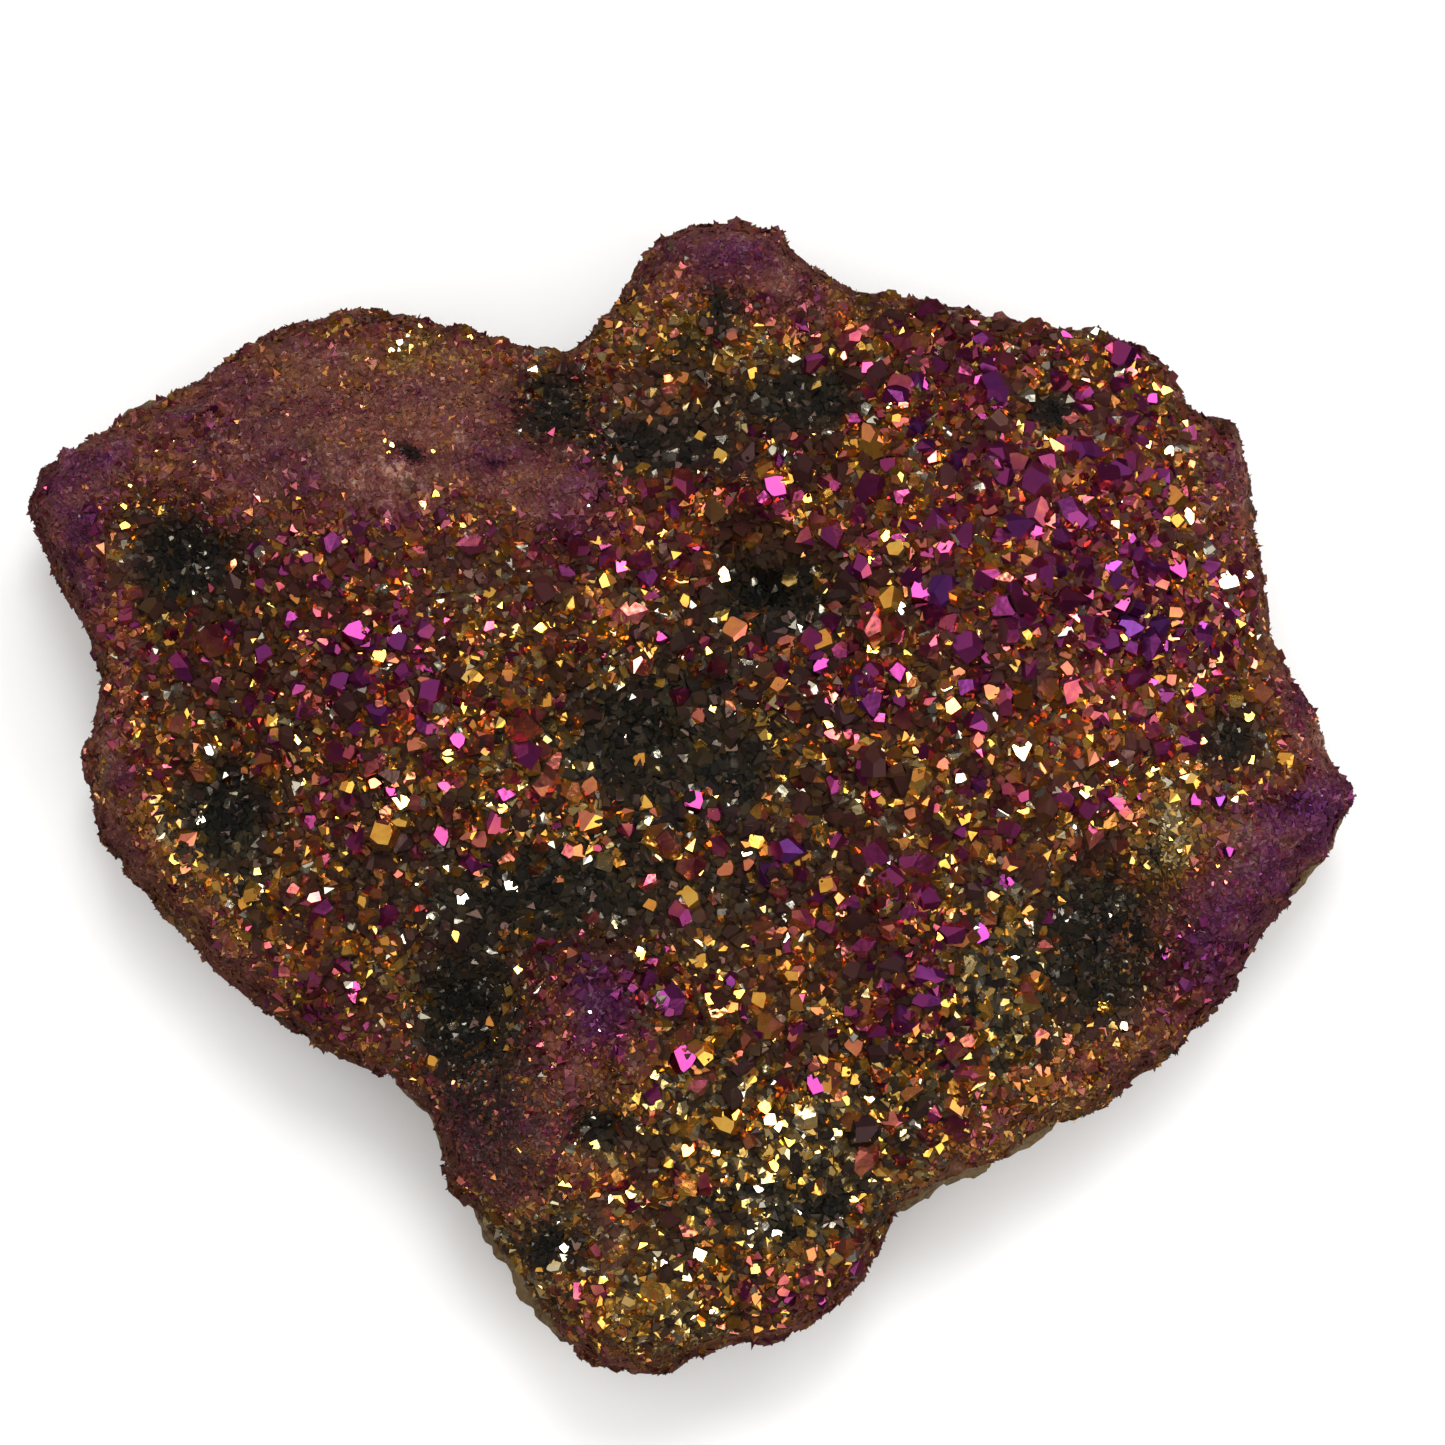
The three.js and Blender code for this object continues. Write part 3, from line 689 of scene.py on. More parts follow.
# %% The film that the ground gives
BASE_FILM = 0.41
BASE_BARE, MOST_BARE = 0.26, 0.96
SIZE_FILM = 0.38  # how much thicker the film is on the largest crystals than on the smallest
FILM_SPREAD = 0.11


def stands_proud(hump):
    """How far the ground is a crest, from -1.5 in a hollow to 1.5, from its convexity in mm."""
    return np.clip(hump / 0.5, -1.5, 1.5)


def ground_film(position, hump, fine):
    """The film's thickness that the ground gives at each point, 0 to 1."""
    plan = seen_plan(position)
    film = BASE_FILM + 0.10 * fine + 0.07 * stands_proud(hump)
    film += zone_map(VIOLET_ZONES, plan) + zone_map(GOLD_ZONES, plan)
    film += 0.08 * fbm(position, size=4 * MM, seed=3.1) - 0.07 * fine * swells(position)
    return film + 0.12 * fine * fbm(position, size=2.2 * MM, seed=8.6)


def bare_share(position, hump, fine):
    """The share of crystals left bare, and so dark: nearly all in the pits, more in hollows and in the
    painted shade zones, and fewer where those are below 0, which paints light. In the pits and hollows
    this is partly painted shade.
    """
    plan = seen_plan(position)
    share = BASE_BARE + 0.9 * zone_map(PIT_ZONES + HOLES, plan) + 0.32 * zone_map(PAINTED_SHADE_ZONES, plan)
    share += 0.3 * fbm(position, size=2.2 * MM, seed=7.7) - 0.15 * stands_proud(hump)
    return np.clip(share - 0.3 * fine, 0, MOST_BARE)


# %% Grit, and the stain of bare crystal
def dustiness(position, fine):
    """How much brown grit dulls the fine druse: most on plain ground, less where the film is violet. Little
    lies in the pits and the painted shade zones, which keeps them dark as painted shade.
    """
    plan = seen_plan(position)
    vivid = np.clip((zone_map(VIOLET_ZONES, plan) - zone_map(GOLD_ZONES, plan) - 0.06) / 0.14, 0, 1)
    grit = 0.55 + 0.45 * fbm(position, size=1.6 * MM, seed=2.9)
    grit += 0.25 * fbm(position, size=5 * MM, seed=6.6)
    grit += 0.22 * swells(position)
    grit = np.clip(grit * fine * (1 - 0.45 * vivid), 0, 0.75) + zone_map(DUSTY_ZONES, plan)
    # painted shade: grit is kept off the pits and the shade zones, so that they stay dark
    hidden = np.clip(1.5 * zone_map(PIT_ZONES + HOLES, plan) + 0.6 * zone_map(PAINTED_SHADE_ZONES, plan), 0, 1)
    return np.clip(grit * (1 - hidden), 0, 1)


def bare_tint_and_shade(position):
    """What bare crystal looks like: 0 is black, 0.6 is maroon and 1 is mauve. The black down in the pits
    and holes is painted shade over bare crystal, the shade zones darken it with painted shade, and the
    mauve is partly painted light.
    """
    plan = seen_plan(position)
    mauve = 0.4 * np.clip(zone_map(MAUVE_AND_LIGHT_ZONES, plan), 0, 1)
    shade = 0.32 * np.clip(zone_map(PAINTED_SHADE_ZONES, plan), 0, 1)
    golden = 0.5 * np.clip(-zone_map(GOLD_ZONES, plan) / 0.12, 0, 1)
    return np.clip(0.6 + mauve - shade - golden - 1.1 * zone_map(PIT_ZONES + HOLES, plan), 0, 1)


# %% One crystal's film and coat
SILVER_FILM = 0.05
THINNEST_FILM = 0.15
SILVERED_SHARE = 0.10  # of the small bare crystals, those that look silvery
LARGEST_SILVERED = 0.42 * MM
GLINTING_SHARE = 0.09  # of the fine crystals, those that are clean and well coated
GLINT_THINNED = 0.08  # those are a little more golden than the rest
THICKENS_FROM, THICKENS_OVER = 0.25, 0.7  # the radii in mm over which the film thickens
USUAL_SIZE = 0.36  # how far along them the usual crystal is
SMALL_BARE, LARGE_BARE = 0.22, -0.14  # added to the share of bare ones, by the crystals' size
FAINTEST_COAT = 0.05  # at most this much on a bare crystal


def crystal_film(position, hump, fine, radius):
    """The film and the coat of each crystal, 0 to 1. Large ones that stand proud have the thickest film.
    The coat is cut deep in the pits and on fine ground in the painted shade zones, which paints shade.
    """
    film = ground_film(position, hump, fine)
    size = np.clip((radius / MM - THICKENS_FROM) / THICKENS_OVER, 0, 1)
    film += SIZE_FILM * (size - USUAL_SIZE) * (1 - fine)
    film += chance.normal(0, FILM_SPREAD, len(film)) * (1 - 0.6 * fine)
    film = np.clip(film, THINNEST_FILM, 1)
    is_small = radius < LARGEST_SILVERED
    missed = bare_share(position, hump, fine) + np.where(is_small, SMALL_BARE, LARGE_BARE) * (1 - fine)
    bare = chance.random(len(film)) < missed
    silvered = bare & is_small
    silvered &= chance.random(len(film)) < SILVERED_SHARE * (1 - 0.8 * fine)
    # painted shade: bare crystals deep in the pits get no coat at all
    depth = np.clip(zone_map(PIT_ZONES, seen_plan(position)), 0, 1)
    faint = chance.uniform(0.0, FAINTEST_COAT, len(film)) * (1 - depth)
    # painted shade: fine crystals in the shade zones get a thinner coat, and so look darker
    shade = np.clip(zone_map(PAINTED_SHADE_ZONES, seen_plan(position)), 0, 1)
    wear_and_shade = 0.55 + 0.4 * shade + 0.45 * fbm(position, size=0.7 * MM, seed=4.4)
    patchy = np.clip(1 - fine * wear_and_shade, 0.03, 1)
    glitter = GLINTING_SHARE + zone_map(GLITTER_ZONES, seen_plan(position)) * fine
    glinting = chance.random(len(film)) < glitter
    coat = np.where(bare, faint, np.where(glinting, 1, patchy))
    film = np.where(glinting & (fine > CLEARLY_FINE), film - GLINT_THINNED, film)
    return np.where(silvered, SILVER_FILM, np.clip(film, THINNEST_FILM, 1)), np.where(silvered, 1, coat)


# %% [markdown]
# ## Joining thousands of crystals into one mesh
#
# Tens of thousands of objects would be slow to load, and instances couldn't carry a colour for each face.
# So each family of sizes becomes one object, or two where it has the most crystals. Its arrays are filled
# template by template: every copy's corners are the template's, stretched, turned to the crystal's own axis
# and moved to its seed. Each flat face carries five numbers that the material reads: the film's thickness
# on it, how well it is coated, which painted shade cuts on faces that look up little, how dusty it is, how
# dull, and whether its bare parts look mauve, maroon or black. The black is painted shade in the pits and
# shade zones, and the mauve is partly painted light.

# %% A mesh from arrays
def mesh_of(name, vertices, loops, lengths):
    """A flat-shaded mesh: loops lists the corners of each face in turn, lengths how many each one has."""
    mesh = bpy.data.meshes.new(name)
    mesh.vertices.add(len(vertices))
    mesh.vertices.foreach_set("co", vertices.ravel())
    mesh.loops.add(len(loops))
    mesh.loops.foreach_set("vertex_index", loops)
    mesh.polygons.add(len(lengths))
    mesh.polygons.foreach_set("loop_start", np.concatenate([[0], np.cumsum(lengths)[:-1]]))
    mesh.update(calc_edges=True)
    mesh.shade_flat()
    return mesh


# %% The film and coat of each face
FACE_SPREAD = 0.05
USUAL_UPNESS = 0.6  # faces that look up more than this get more film, and the others less
SHADED_SIDE_UPNESS = 0.42  # faces that look up less than this get painted shade: their coat is cut, so they look dark
SHADED_SIDE_COAT = 0.06


def face_film(film, upness, lift):
    """The film on each face of each crystal. A silvery crystal is silvery all over."""
    value = film[:, None] + lift * (upness - USUAL_UPNESS)
    value += chance.normal(0, FACE_SPREAD, upness.shape)
    return np.where(film[:, None] > SILVER_FILM, np.clip(value, THINNEST_FILM, 1), SILVER_FILM)


def face_coat(coat, upness):
    """How well each face of each crystal is coated. Steep faces and those that look down lose nearly all
    their coat, which paints shade on the sides of crystals.
    """
    return coat[:, None] * np.where(upness > SHADED_SIDE_UPNESS, 1, SHADED_SIDE_COAT)


# %% Joined meshes
def join_crystals(name, points, kind, position, turn, size, stretch, film, coat, dusty, lift):
    """One object made of copies of the points: kind says which point each copy is of."""
    vertex_parts, loop_parts, length_parts = [], [], []
    marks = {"film": [], "coat": [], "dusty": [], "dull": [], "bare_tint_and_shade": []}
    tint_and_shade = bare_tint_and_shade(position)
    first = 0
    for k, (corner, faces, face_normals) in enumerate(points):
        mine = np.flatnonzero(kind == k)
        scaled = corner[None] * np.stack([size, size, size * stretch], axis=1)[mine][:, None]
        placed = np.einsum("nvi,nij->nvj", scaled, turn[mine]) + position[mine][:, None]
        vertex_parts.append(placed.reshape(-1, 3))
        loops = np.concatenate(faces)
        starts = first + len(corner) * np.arange(len(mine))
        loop_parts.append((loops[None] + starts[:, None]).ravel())
        length_parts.append(np.tile([len(f) for f in faces], len(mine)))
        upness = (face_normals @ turn[mine])[:, :, 2]
        marks["film"].append(face_film(film[mine], upness, lift).ravel())
        marks["coat"].append(face_coat(coat[mine], upness).ravel())
        marks["dusty"].append(np.repeat(dusty[mine], len(faces)))
        marks["dull"].append(np.repeat(chance.random(len(mine)), len(faces)))
        marks["bare_tint_and_shade"].append(np.repeat(tint_and_shade[mine], len(faces)))
        first += placed.shape[0] * placed.shape[1]
    lengths = np.concatenate(length_parts)
    mesh = mesh_of(name, np.concatenate(vertex_parts), np.concatenate(loop_parts), lengths)
    for key, parts in marks.items():
        mesh.attributes.new(key, "FLOAT", "FACE").data.foreach_set("value", np.concatenate(parts))
    piece = bpy.data.objects.new(name, mesh)
    scene.collection.objects.link(piece)
    print(name, len(position), "crystals,", (lengths - 2).sum(), "triangles")
    return piece


# %% [markdown]
# ## Crystals that catch the light
#
# What the eye finds first on such a plate are the few faces that throw a lamp straight back. Chance alone
# would put them anywhere. A mirror throws a lamp back when it faces halfway between the eye and the lamp,
# so each of these crystals is turned about its seed until one large face does. The turn that is left over
# is used to keep the crystal as upright as it can be. Each is listed by the pixel where it shows, and a ray
# from the camera finds the ground under that pixel.

# %% Where they show: column and row in pixels, radius in mm, film
FLASHES = (
    (775, 485, 0.85, 0.64), (1065, 337, 0.55, 0.66), (1132, 357, 0.50, 0.70), (1000, 365, 0.60, 0.68),
    (925, 382, 0.45, 0.70), (1035, 467, 0.50, 0.64), (1034, 528, 0.60, 0.66), (920, 590, 0.75, 0.68),
    (1180, 568, 0.85, 0.72), (1122, 603, 0.65, 0.76), (685, 1060, 0.85, 0.68), (695, 800, 0.75, 0.62),
    (355, 630, 0.80, 0.74), (295, 528, 0.45, 0.60), (345, 540, 0.35, 0.56), (661, 637, 0.45, 0.70),
    (458, 740, 0.60, 0.62), (390, 790, 0.40, 0.60), (820, 665, 0.70, 0.82), (980, 935, 0.70, 0.84),
    (1197, 800, 0.50, 0.78), (1220, 800, 0.50, 0.80), (1140, 795, 0.40, 0.80), (1230, 852, 0.40, 0.76),
    (817, 1085, 0.80, 0.76), (1167, 955, 0.40, 0.80), (1010, 882, 0.35, 0.84), (1162, 390, 0.70, 0.27),
    (1170, 450, 0.45, 0.24), (1165, 515, 0.50, 0.20), (1190, 517, 0.55, 0.16), (1228, 580, 0.90, 0.16),
    (722, 575, 0.60, 0.26), (400, 800, 0.60, 0.22), (1113, 762, 0.40, 0.18), (1155, 768, 0.45, 0.22),
    (1085, 793, 0.40, 0.24), (1125, 1027, 0.35, 0.20), (462, 898, 0.50, 0.05), (510, 885, 0.50, 0.05),
    (1022, 752, 0.70, 0.26), (715, 708, 0.40, 0.28), (830, 722, 0.45, 0.30), (1250, 575, 0.35, 0.05),
    (735, 1113, 0.60, 0.36), (770, 1120, 0.50, 0.22), (620, 1115, 0.35, 0.22), (655, 1075, 0.40, 0.26),
    (800, 1210, 0.35, 0.05), (870, 1095, 0.50, 0.22), (1235, 800, 0.35, 0.20), (200, 820, 0.35, 0.05),
    (255, 640, 0.30, 0.24), (380, 655, 0.55, 0.30), (1180, 620, 0.35, 0.74), (640, 950, 0.30, 0.05),
    (385, 440, 0.16, 0.24), (392, 445, 0.20, 0.24), (389, 453, 0.16, 0.24), (433, 451, 0.16, 0.26),
    (124, 505, 0.35, 0.22), (124, 525, 0.40, 0.30), (130, 484, 0.25, 0.26), (436, 494, 0.30, 0.34),
    (440, 525, 0.35, 0.34), (408, 541, 0.25, 0.22), (462, 524, 0.25, 0.34), (175, 442, 0.15, 0.26),
    (195, 462, 0.15, 0.28), (400, 342, 0.25, 0.26), (392, 350, 0.22, 0.24), (408, 336, 0.20, 0.26),
    (470, 338, 0.28, 0.24), (420, 326, 0.22, 0.30), (1180, 850, 0.22, 0.24), (1172, 838, 0.25, 0.26),
    (1196, 690, 0.70, 0.76), (1191, 708, 0.35, 0.30), (1203, 622, 0.50, 0.86), (1124, 622, 0.40, 0.60),
    (1127, 637, 0.35, 0.28), (1009, 706, 0.40, 0.40), (1251, 760, 0.40, 0.24), (1247, 716, 0.45, 0.26),
    (1148, 444, 0.30, 0.24), (1153, 398, 0.45, 0.66), (868, 368, 0.50, 0.56), (858, 345, 0.40, 0.26),
    (993, 381, 0.40, 0.70), (884, 462, 0.30, 0.24), (1021, 428, 0.35, 0.20), (998, 682, 0.40, 0.66),
    (1068, 664, 0.30, 0.14), (662, 532, 0.35, 0.18), (829, 700, 0.35, 0.76), (761, 702, 0.30, 0.50),
    (960, 778, 0.45, 0.14), (715, 794, 0.30, 0.28), (980, 858, 0.35, 0.80), (700, 871, 0.35, 0.22),
    (916, 750, 0.30, 0.44), (710, 998, 0.45, 0.26), (740, 993, 0.45, 0.32), (720, 975, 0.40, 0.36),
    (520, 970, 0.40, 0.30), (498, 1040, 0.30, 0.22), (408, 1026, 0.30, 0.40), (598, 1146, 0.25, 0.14),
    (574, 1144, 0.15, 0.05), (630, 1194, 0.35, 0.28), (765, 1107, 0.55, 0.28), (778, 1126, 0.45, 0.14),
    (716, 1152, 0.30, 0.16), (790, 1140, 0.50, 0.30), (758, 1188, 0.35, 0.10), (700, 1254, 0.50, 0.16),
    (688, 1278, 0.35, 0.18), (606, 1278, 0.30, 0.14), (564, 1248, 0.35, 0.05), (574, 1298, 0.25, 0.18),
    (454, 1084, 0.25, 0.40), (361, 650, 0.35, 0.40), (390, 663, 0.25, 0.12), (416, 655, 0.30, 0.60),
    (332, 703, 0.30, 0.58), (444, 786, 0.45, 0.68), (375, 781, 0.60, 0.48), (340, 814, 0.45, 0.30),
    (200, 777, 0.40, 0.24), (228, 779, 0.40, 0.30), (260, 887, 0.35, 0.14), (384, 910, 0.40, 0.56),
    (402, 858, 0.20, 0.08), (418, 883, 0.30, 0.10), (448, 757, 0.40, 0.32), (434, 698, 0.35, 0.26),
    (590, 1012, 0.14, 0.05), (600, 1030, 0.12, 0.05), (585, 1050, 0.14, 0.60), (610, 1062, 0.14, 0.05),
    (575, 1036, 0.12, 0.70), (598, 1020, 0.12, 0.80), (1218, 866, 0.16, 0.50), (1226, 882, 0.16, 0.52),
    (1213, 884, 0.14, 0.62), (1230, 872, 0.12, 0.48), (1190, 925, 0.16, 0.56), (1180, 935, 0.18, 0.60),
    (1195, 930, 0.14, 0.56), (1170, 948, 0.18, 0.72), (1322, 796, 0.12, 0.90), (1310, 806, 0.12, 0.95),
)
GLOWS = (
    (585, 820, 0.95, 0.47), (805, 535, 0.75, 0.60), (830, 885, 0.70, 0.56), (590, 785, 0.65, 0.44),
    (1120, 470, 0.85, 0.76), (1160, 475, 0.75, 0.78), (1065, 445, 0.80, 0.70), (1003, 478, 0.60, 0.74),
    (900, 382, 0.85, 0.62), (1065, 385, 0.60, 0.56), (990, 508, 0.55, 0.56), (935, 512, 0.55, 0.58),
    (735, 625, 0.85, 0.42), (790, 640, 0.50, 0.40), (822, 640, 0.75, 0.34), (875, 640, 0.55, 0.40),
    (610, 675, 0.60, 0.34), (725, 870, 0.60, 0.46), (715, 815, 0.60, 0.58), (825, 885, 0.60, 0.34),
    (700, 715, 0.55, 0.44), (545, 700, 0.60, 0.30), (480, 840, 0.65, 0.56), (400, 820, 0.70, 0.30),
    (340, 680, 0.75, 0.80), (430, 690, 0.80, 0.66), (520, 760, 0.60, 0.36), (640, 760, 0.50, 0.34),
    (880, 800, 0.50, 0.32), (960, 830, 0.60, 0.60), (1010, 790, 0.55, 0.66), (900, 700, 0.60, 0.62),
    (950, 620, 0.65, 0.64), (860, 560, 0.55, 0.64), (1080, 600, 0.60, 0.80), (1110, 640, 0.80, 0.90),
    (1060, 640, 0.60, 0.70), (1180, 660, 0.50, 0.60), (850, 1010, 0.55, 0.72), (920, 1000, 0.65, 0.82),
    (940, 1040, 0.50, 0.74), (620, 860, 0.50, 0.34), (560, 880, 0.40, 0.30), (700, 960, 0.55, 0.40),
    (760, 1000, 0.60, 0.36), (650, 905, 0.45, 0.28), (270, 720, 0.55, 0.30), (280, 850, 0.45, 0.32),
    (720, 455, 0.60, 0.30), (700, 437, 0.55, 0.32), (650, 420, 0.40, 0.34), (1175, 830, 0.40, 0.28),
    (1246, 592, 0.95, 0.52), (1118, 352, 0.90, 0.70), (1207, 548, 0.60, 0.05), (1284, 757, 0.60, 0.34),
    (1172, 495, 0.70, 0.34),
    (490, 1022, 0.40, 0.32), (432, 1060, 0.45, 0.34), (725, 1120, 1.00, 0.33), (766, 1150, 0.60, 0.30),
    (552, 1267, 0.50, 0.20), (414, 744, 0.60, 0.52), (348, 752, 0.60, 0.54), (398, 641, 0.70, 0.78),
    (244, 903, 0.50, 0.36), (382, 834, 0.90, 0.38), (1318, 806, 0.26, 1.0), (1308, 815, 0.22, 1.0),
    (1326, 815, 0.22, 1.0), (1298, 808, 0.22, 1.0), (1312, 799, 0.20, 1.0), (1324, 803, 0.20, 1.0),
)


# %% The ground under a pixel
bed_tree = BVHTree.FromPolygons([Vector(p) for p in bed_at], triangles.tolist())


def sighted(column, row):
    """The point of the bed that shows at a pixel, and the ground's normal there."""
    middle = PICTURE_SIDE / 2
    aim = -towards_camera * FOCAL_PIXELS + across_view * (column - middle) + up_view * (middle - row)
    point, ground_normal, _, _ = bed_tree.ray_cast(camera.location, aim.normalized())
    return np.array(point), np.array(ground_normal)


# %% Turning one face of each to the lamp
def square_frame(first, second):
    """Three directions at right angles, the first one kept and the second one as near as it can be."""
    second = second - first * (second @ first)
    second /= np.linalg.norm(second)
    return np.stack([first, second, np.cross(first, second)])


def flat_area(outline):
    """The area of a flat polygon, from its corners in order."""
    spokes = outline[1:] - outline[0]
    return np.linalg.norm(np.cross(spokes[:-1], spokes[1:]).sum(axis=0)) / 2


STEEPEST, FLATTEST = 0.3, 0.95  # of the faces that may catch the light, by how far they look up
RAISED = 0.5  # how far the face stands out of the ground, in radii


def catching(listed, panel):
    """Seeds, turns and radii of crystals whose largest face mirrors the panel to the camera."""
    seats, turns, kinds = [], [], []
    for column, row, radius, _ in listed:
        kind = chance.integers(len(BIG_POINTS))
        corner, faces, face_normals = BIG_POINTS[kind]
        sloping = [i for i, n in enumerate(face_normals) if STEEPEST < n[2] < FLATTEST]
        middles = {i: corner[faces[i]].mean(axis=0) for i in sloping}
        widest = max(sloping, key=lambda i: flat_area(corner[faces[i]]))
        ground, ground_normal = sighted(column, row)
        to_eye = np.array((camera.location - Vector(ground)).normalized())
        to_lamp = np.array((panel.location - Vector(ground)).normalized())
        facing = (to_eye + to_lamp) / np.linalg.norm(to_eye + to_lamp)
        there = square_frame(facing, ground_normal)
        here = square_frame(face_normals[widest], np.array([0.0, 0.0, 1.0]))
        turn = here.T @ there
        seats.append(ground - (middles[widest] @ turn) * radius * MM + to_eye * RAISED * radius * MM)
        turns.append(turn)
        kinds.append(kind)
    return np.array(seats), np.array(turns), np.array(kinds)


# %% The crystals that catch the light, joined
REACH = 1.4  # the room that each of them takes, in radii
crystal_pieces = []
catchers = (("crystals_flashing", FLASHES, window_panel), ("crystals_glowing", GLOWS, broad_panel))
for name, listed, panel in catchers:
    seat, turn, kind = catching(listed, panel)
    radius, film = np.array(listed)[:, 2] * MM, np.array(listed)[:, 3]
    taken.extend(zip(seat, REACH * radius))
    sure = np.ones(len(listed))
    crystal_pieces.append(
        join_crystals(name, BIG_POINTS, kind, seat, turn, radius, sure, film, sure, 0 * sure, 0.0)
    )

# %% The families, from the largest to the finest
FAMILIES = (
    # name, templates, thrown, radius range in mm, crowding, lean, least and most fine ground, stands out
    ("crystals_large", BIG_POINTS, 6000, (0.62, 1.05), 0.60, 0.48, (0.0, 0.3), 0.03),
    ("crystals_medium", BIG_POINTS, 28000, (0.38, 0.62), 0.58, 0.55, (0.0, 0.5), 0.0),
    ("crystals_small", SMALL_POINTS, 90000, (0.20, 0.36), 0.56, 0.50, (0.0, 0.85), 0.1),
    ("crystals_fine", FINE_POINTS, 260000, (0.12, 0.20), 0.52, 0.42, (0.25, 1.01), 0.1),
)


# %% Where a family may grow, and how squat its crystals are
def may_grow(name, position, normal, big):
    """Whether each point may bear one of the family: the larger ones keep off pits and steep sides."""
    pit = zone_map(PIT_ZONES, seen_plan(position))
    if name == "crystals_large":
        chosen = chance.random(len(position)) < 0.15 + 0.75 * big
        return chosen & (pit < 0.35) & (normal[:, 2] > 0.5)
    if name == "crystals_medium":
        return (pit < 0.7) & (normal[:, 2] > 0.35)
    return np.full(len(position), True)


def steepness(normal):
    """0 on gentle ground, 1 on a side that is nearly upright."""
    return np.clip((0.65 - normal[:, 2]) / 0.3, 0, 1)


# %% Growing them
SKEW_TO_SMALL = 1.5  # above 1, a family has more small crystals than large ones
SQUATTEST, TALLEST = 0.8, 1.3
LOST_ON_STEEP = 0.6  # how much a crystal on a steep side is shortened, and how far it is sunk, in radii
FINE_LIFT, LIFT = 0.06, 0.2  # how much more film a face gets for looking up
LEAST_GRIT, MOST_GRIT = 0.55, 1.15  # a crystal's share of the grit that the ground gives

for name, points, thrown, (small, large), crowding, spread, (least, most), out in FAMILIES:
    position, normal, hump = throw(thrown)
    fine = fineness(position, normal)
    big = np.clip(zone_map(BIG_GROUND, seen_plan(position)), 0, 1)
    allowed = (fine >= least) & (fine < most) & may_grow(name, position, normal, big)
    position, normal, hump, fine, big = (v[allowed] for v in (position, normal, hump, fine, big))
    grade = chance.random(len(position)) ** SKEW_TO_SMALL * (0.5 + 0.5 * big)
    radius = (small + (large - small) * grade) * MM
    kept = keep_with_room(position, radius, crowding)
    position, normal, hump, fine, radius = (v[kept] for v in (position, normal, hump, fine, radius))
    film, coat = crystal_film(position, hump, fine, radius)
    dusty = dustiness(position, fine) * chance.uniform(LEAST_GRIT, MOST_GRIT, len(radius))
    dusty = np.clip(dusty, 0, 1)
    dusty = np.where((coat == 1) & (fine > CLEARLY_FINE), 0, dusty)
    axis = leant(normal, spread)
    lost = LOST_ON_STEEP * steepness(normal)
    stretch = chance.uniform(SQUATTEST, TALLEST, len(radius)) * (1 - lost)
    seat = position + axis * (radius * (out - lost))[:, None]
    lift = FINE_LIFT if name == "crystals_fine" else LIFT
    kind = chance.integers(len(points), size=len(radius))
    turn = turns_to(axis)
    shares = {name: np.full(len(radius), True)}
    if name == "crystals_fine":  # so many that one mesh of them would be too heavy
        west = position[:, 0] < 0
        shares = {"crystals_fine_west": west, "crystals_fine_east": ~west}
    for piece_name, mine in shares.items():
        own = (v[mine] for v in (kind, seat, turn, radius, stretch, film, coat, dusty))
        crystal_pieces.append(join_crystals(piece_name, points, *own, lift))

# %% [markdown]
# ## Finishes
#
# The crystal finish is a mirror-like metal whose colour is read from the film: a colour ramp holds the
# order in which a thin film runs through its colours as it thickens. The shader's own thin-film input
# changes with the angle of view and is hard to steer, so the ramp is used. Where there is no film the
# crystal itself shows, nearly black in the pits, which is painted shade over bare crystal, and maroon or
# mauve elsewhere, the mauve partly painted light. Fine noise breaks up the gloss, as small growth steps do
# on real faces, and brown grit dulls the finest ground.

# %% Node helpers
def new_finish(name):
    """A material, its node tree and its shader node."""
    material = bpy.data.materials.new(name)
    material.use_nodes = True
    tree = material.node_tree
    return material, tree, tree.nodes["Principled BSDF"]


def add(tree, kind, **values):
    """A node with its settings, and its inputs where the name is an input's."""
    node = tree.nodes.new(kind)
    for key, value in values.items():
        if key in node.inputs:
            node.inputs[key].default_value = value
        else:
            setattr(node, key, value)
    return node


def ramp(tree, source, stops):
    """A colour read off stops, each a place from 0 to 1 and a colour."""
    node = tree.nodes.new("ShaderNodeValToRGB")
    tree.links.new(source, node.inputs["Fac"])
    elements = node.color_ramp.elements
    while len(elements) < len(stops):
        elements.new(0.5)
    for element, (place, colour) in zip(elements, stops):
        element.position = place
        element.color = (*colour, 1)
    return node.outputs["Color"]


def noise_at(tree, scale, detail=4, roughness=0.6):
    """Noise in the piece's own space, with about scale lumps to the metre."""
    coordinates = add(tree, "ShaderNodeTexCoord")
    node = add(tree, "ShaderNodeTexNoise", Scale=scale, Detail=detail, Roughness=roughness)
    tree.links.new(coordinates.outputs["Object"], node.inputs["Vector"])
    return node.outputs["Fac"]


def maths(tree, operation, first, second):
    """One step of arithmetic on two values, each either a socket or a number."""
    node = add(tree, "ShaderNodeMath", operation=operation)
    for socket, value in zip(node.inputs, (first, second)):
        if isinstance(value, (int, float)):
            socket.default_value = value
        else:
            tree.links.new(value, socket)
    return node.outputs["Value"]


def between(tree, value, old, new):
    """The value carried over from an old range to a new one, and held at its ends."""
    ends = {"From Min": old[0], "From Max": old[1], "To Min": new[0], "To Max": new[1]}
    node = add(tree, "ShaderNodeMapRange", **ends)
    tree.links.new(value, node.inputs["Value"])
    return node.outputs["Result"]


def bump(tree, shader, height, distance, strength):
    """The shader's surface raised by a height."""
    node = add(tree, "ShaderNodeBump", Strength=strength, Distance=distance)
    tree.links.new(height, node.inputs["Height"])
    tree.links.new(node.outputs["Normal"], shader.inputs["Normal"])


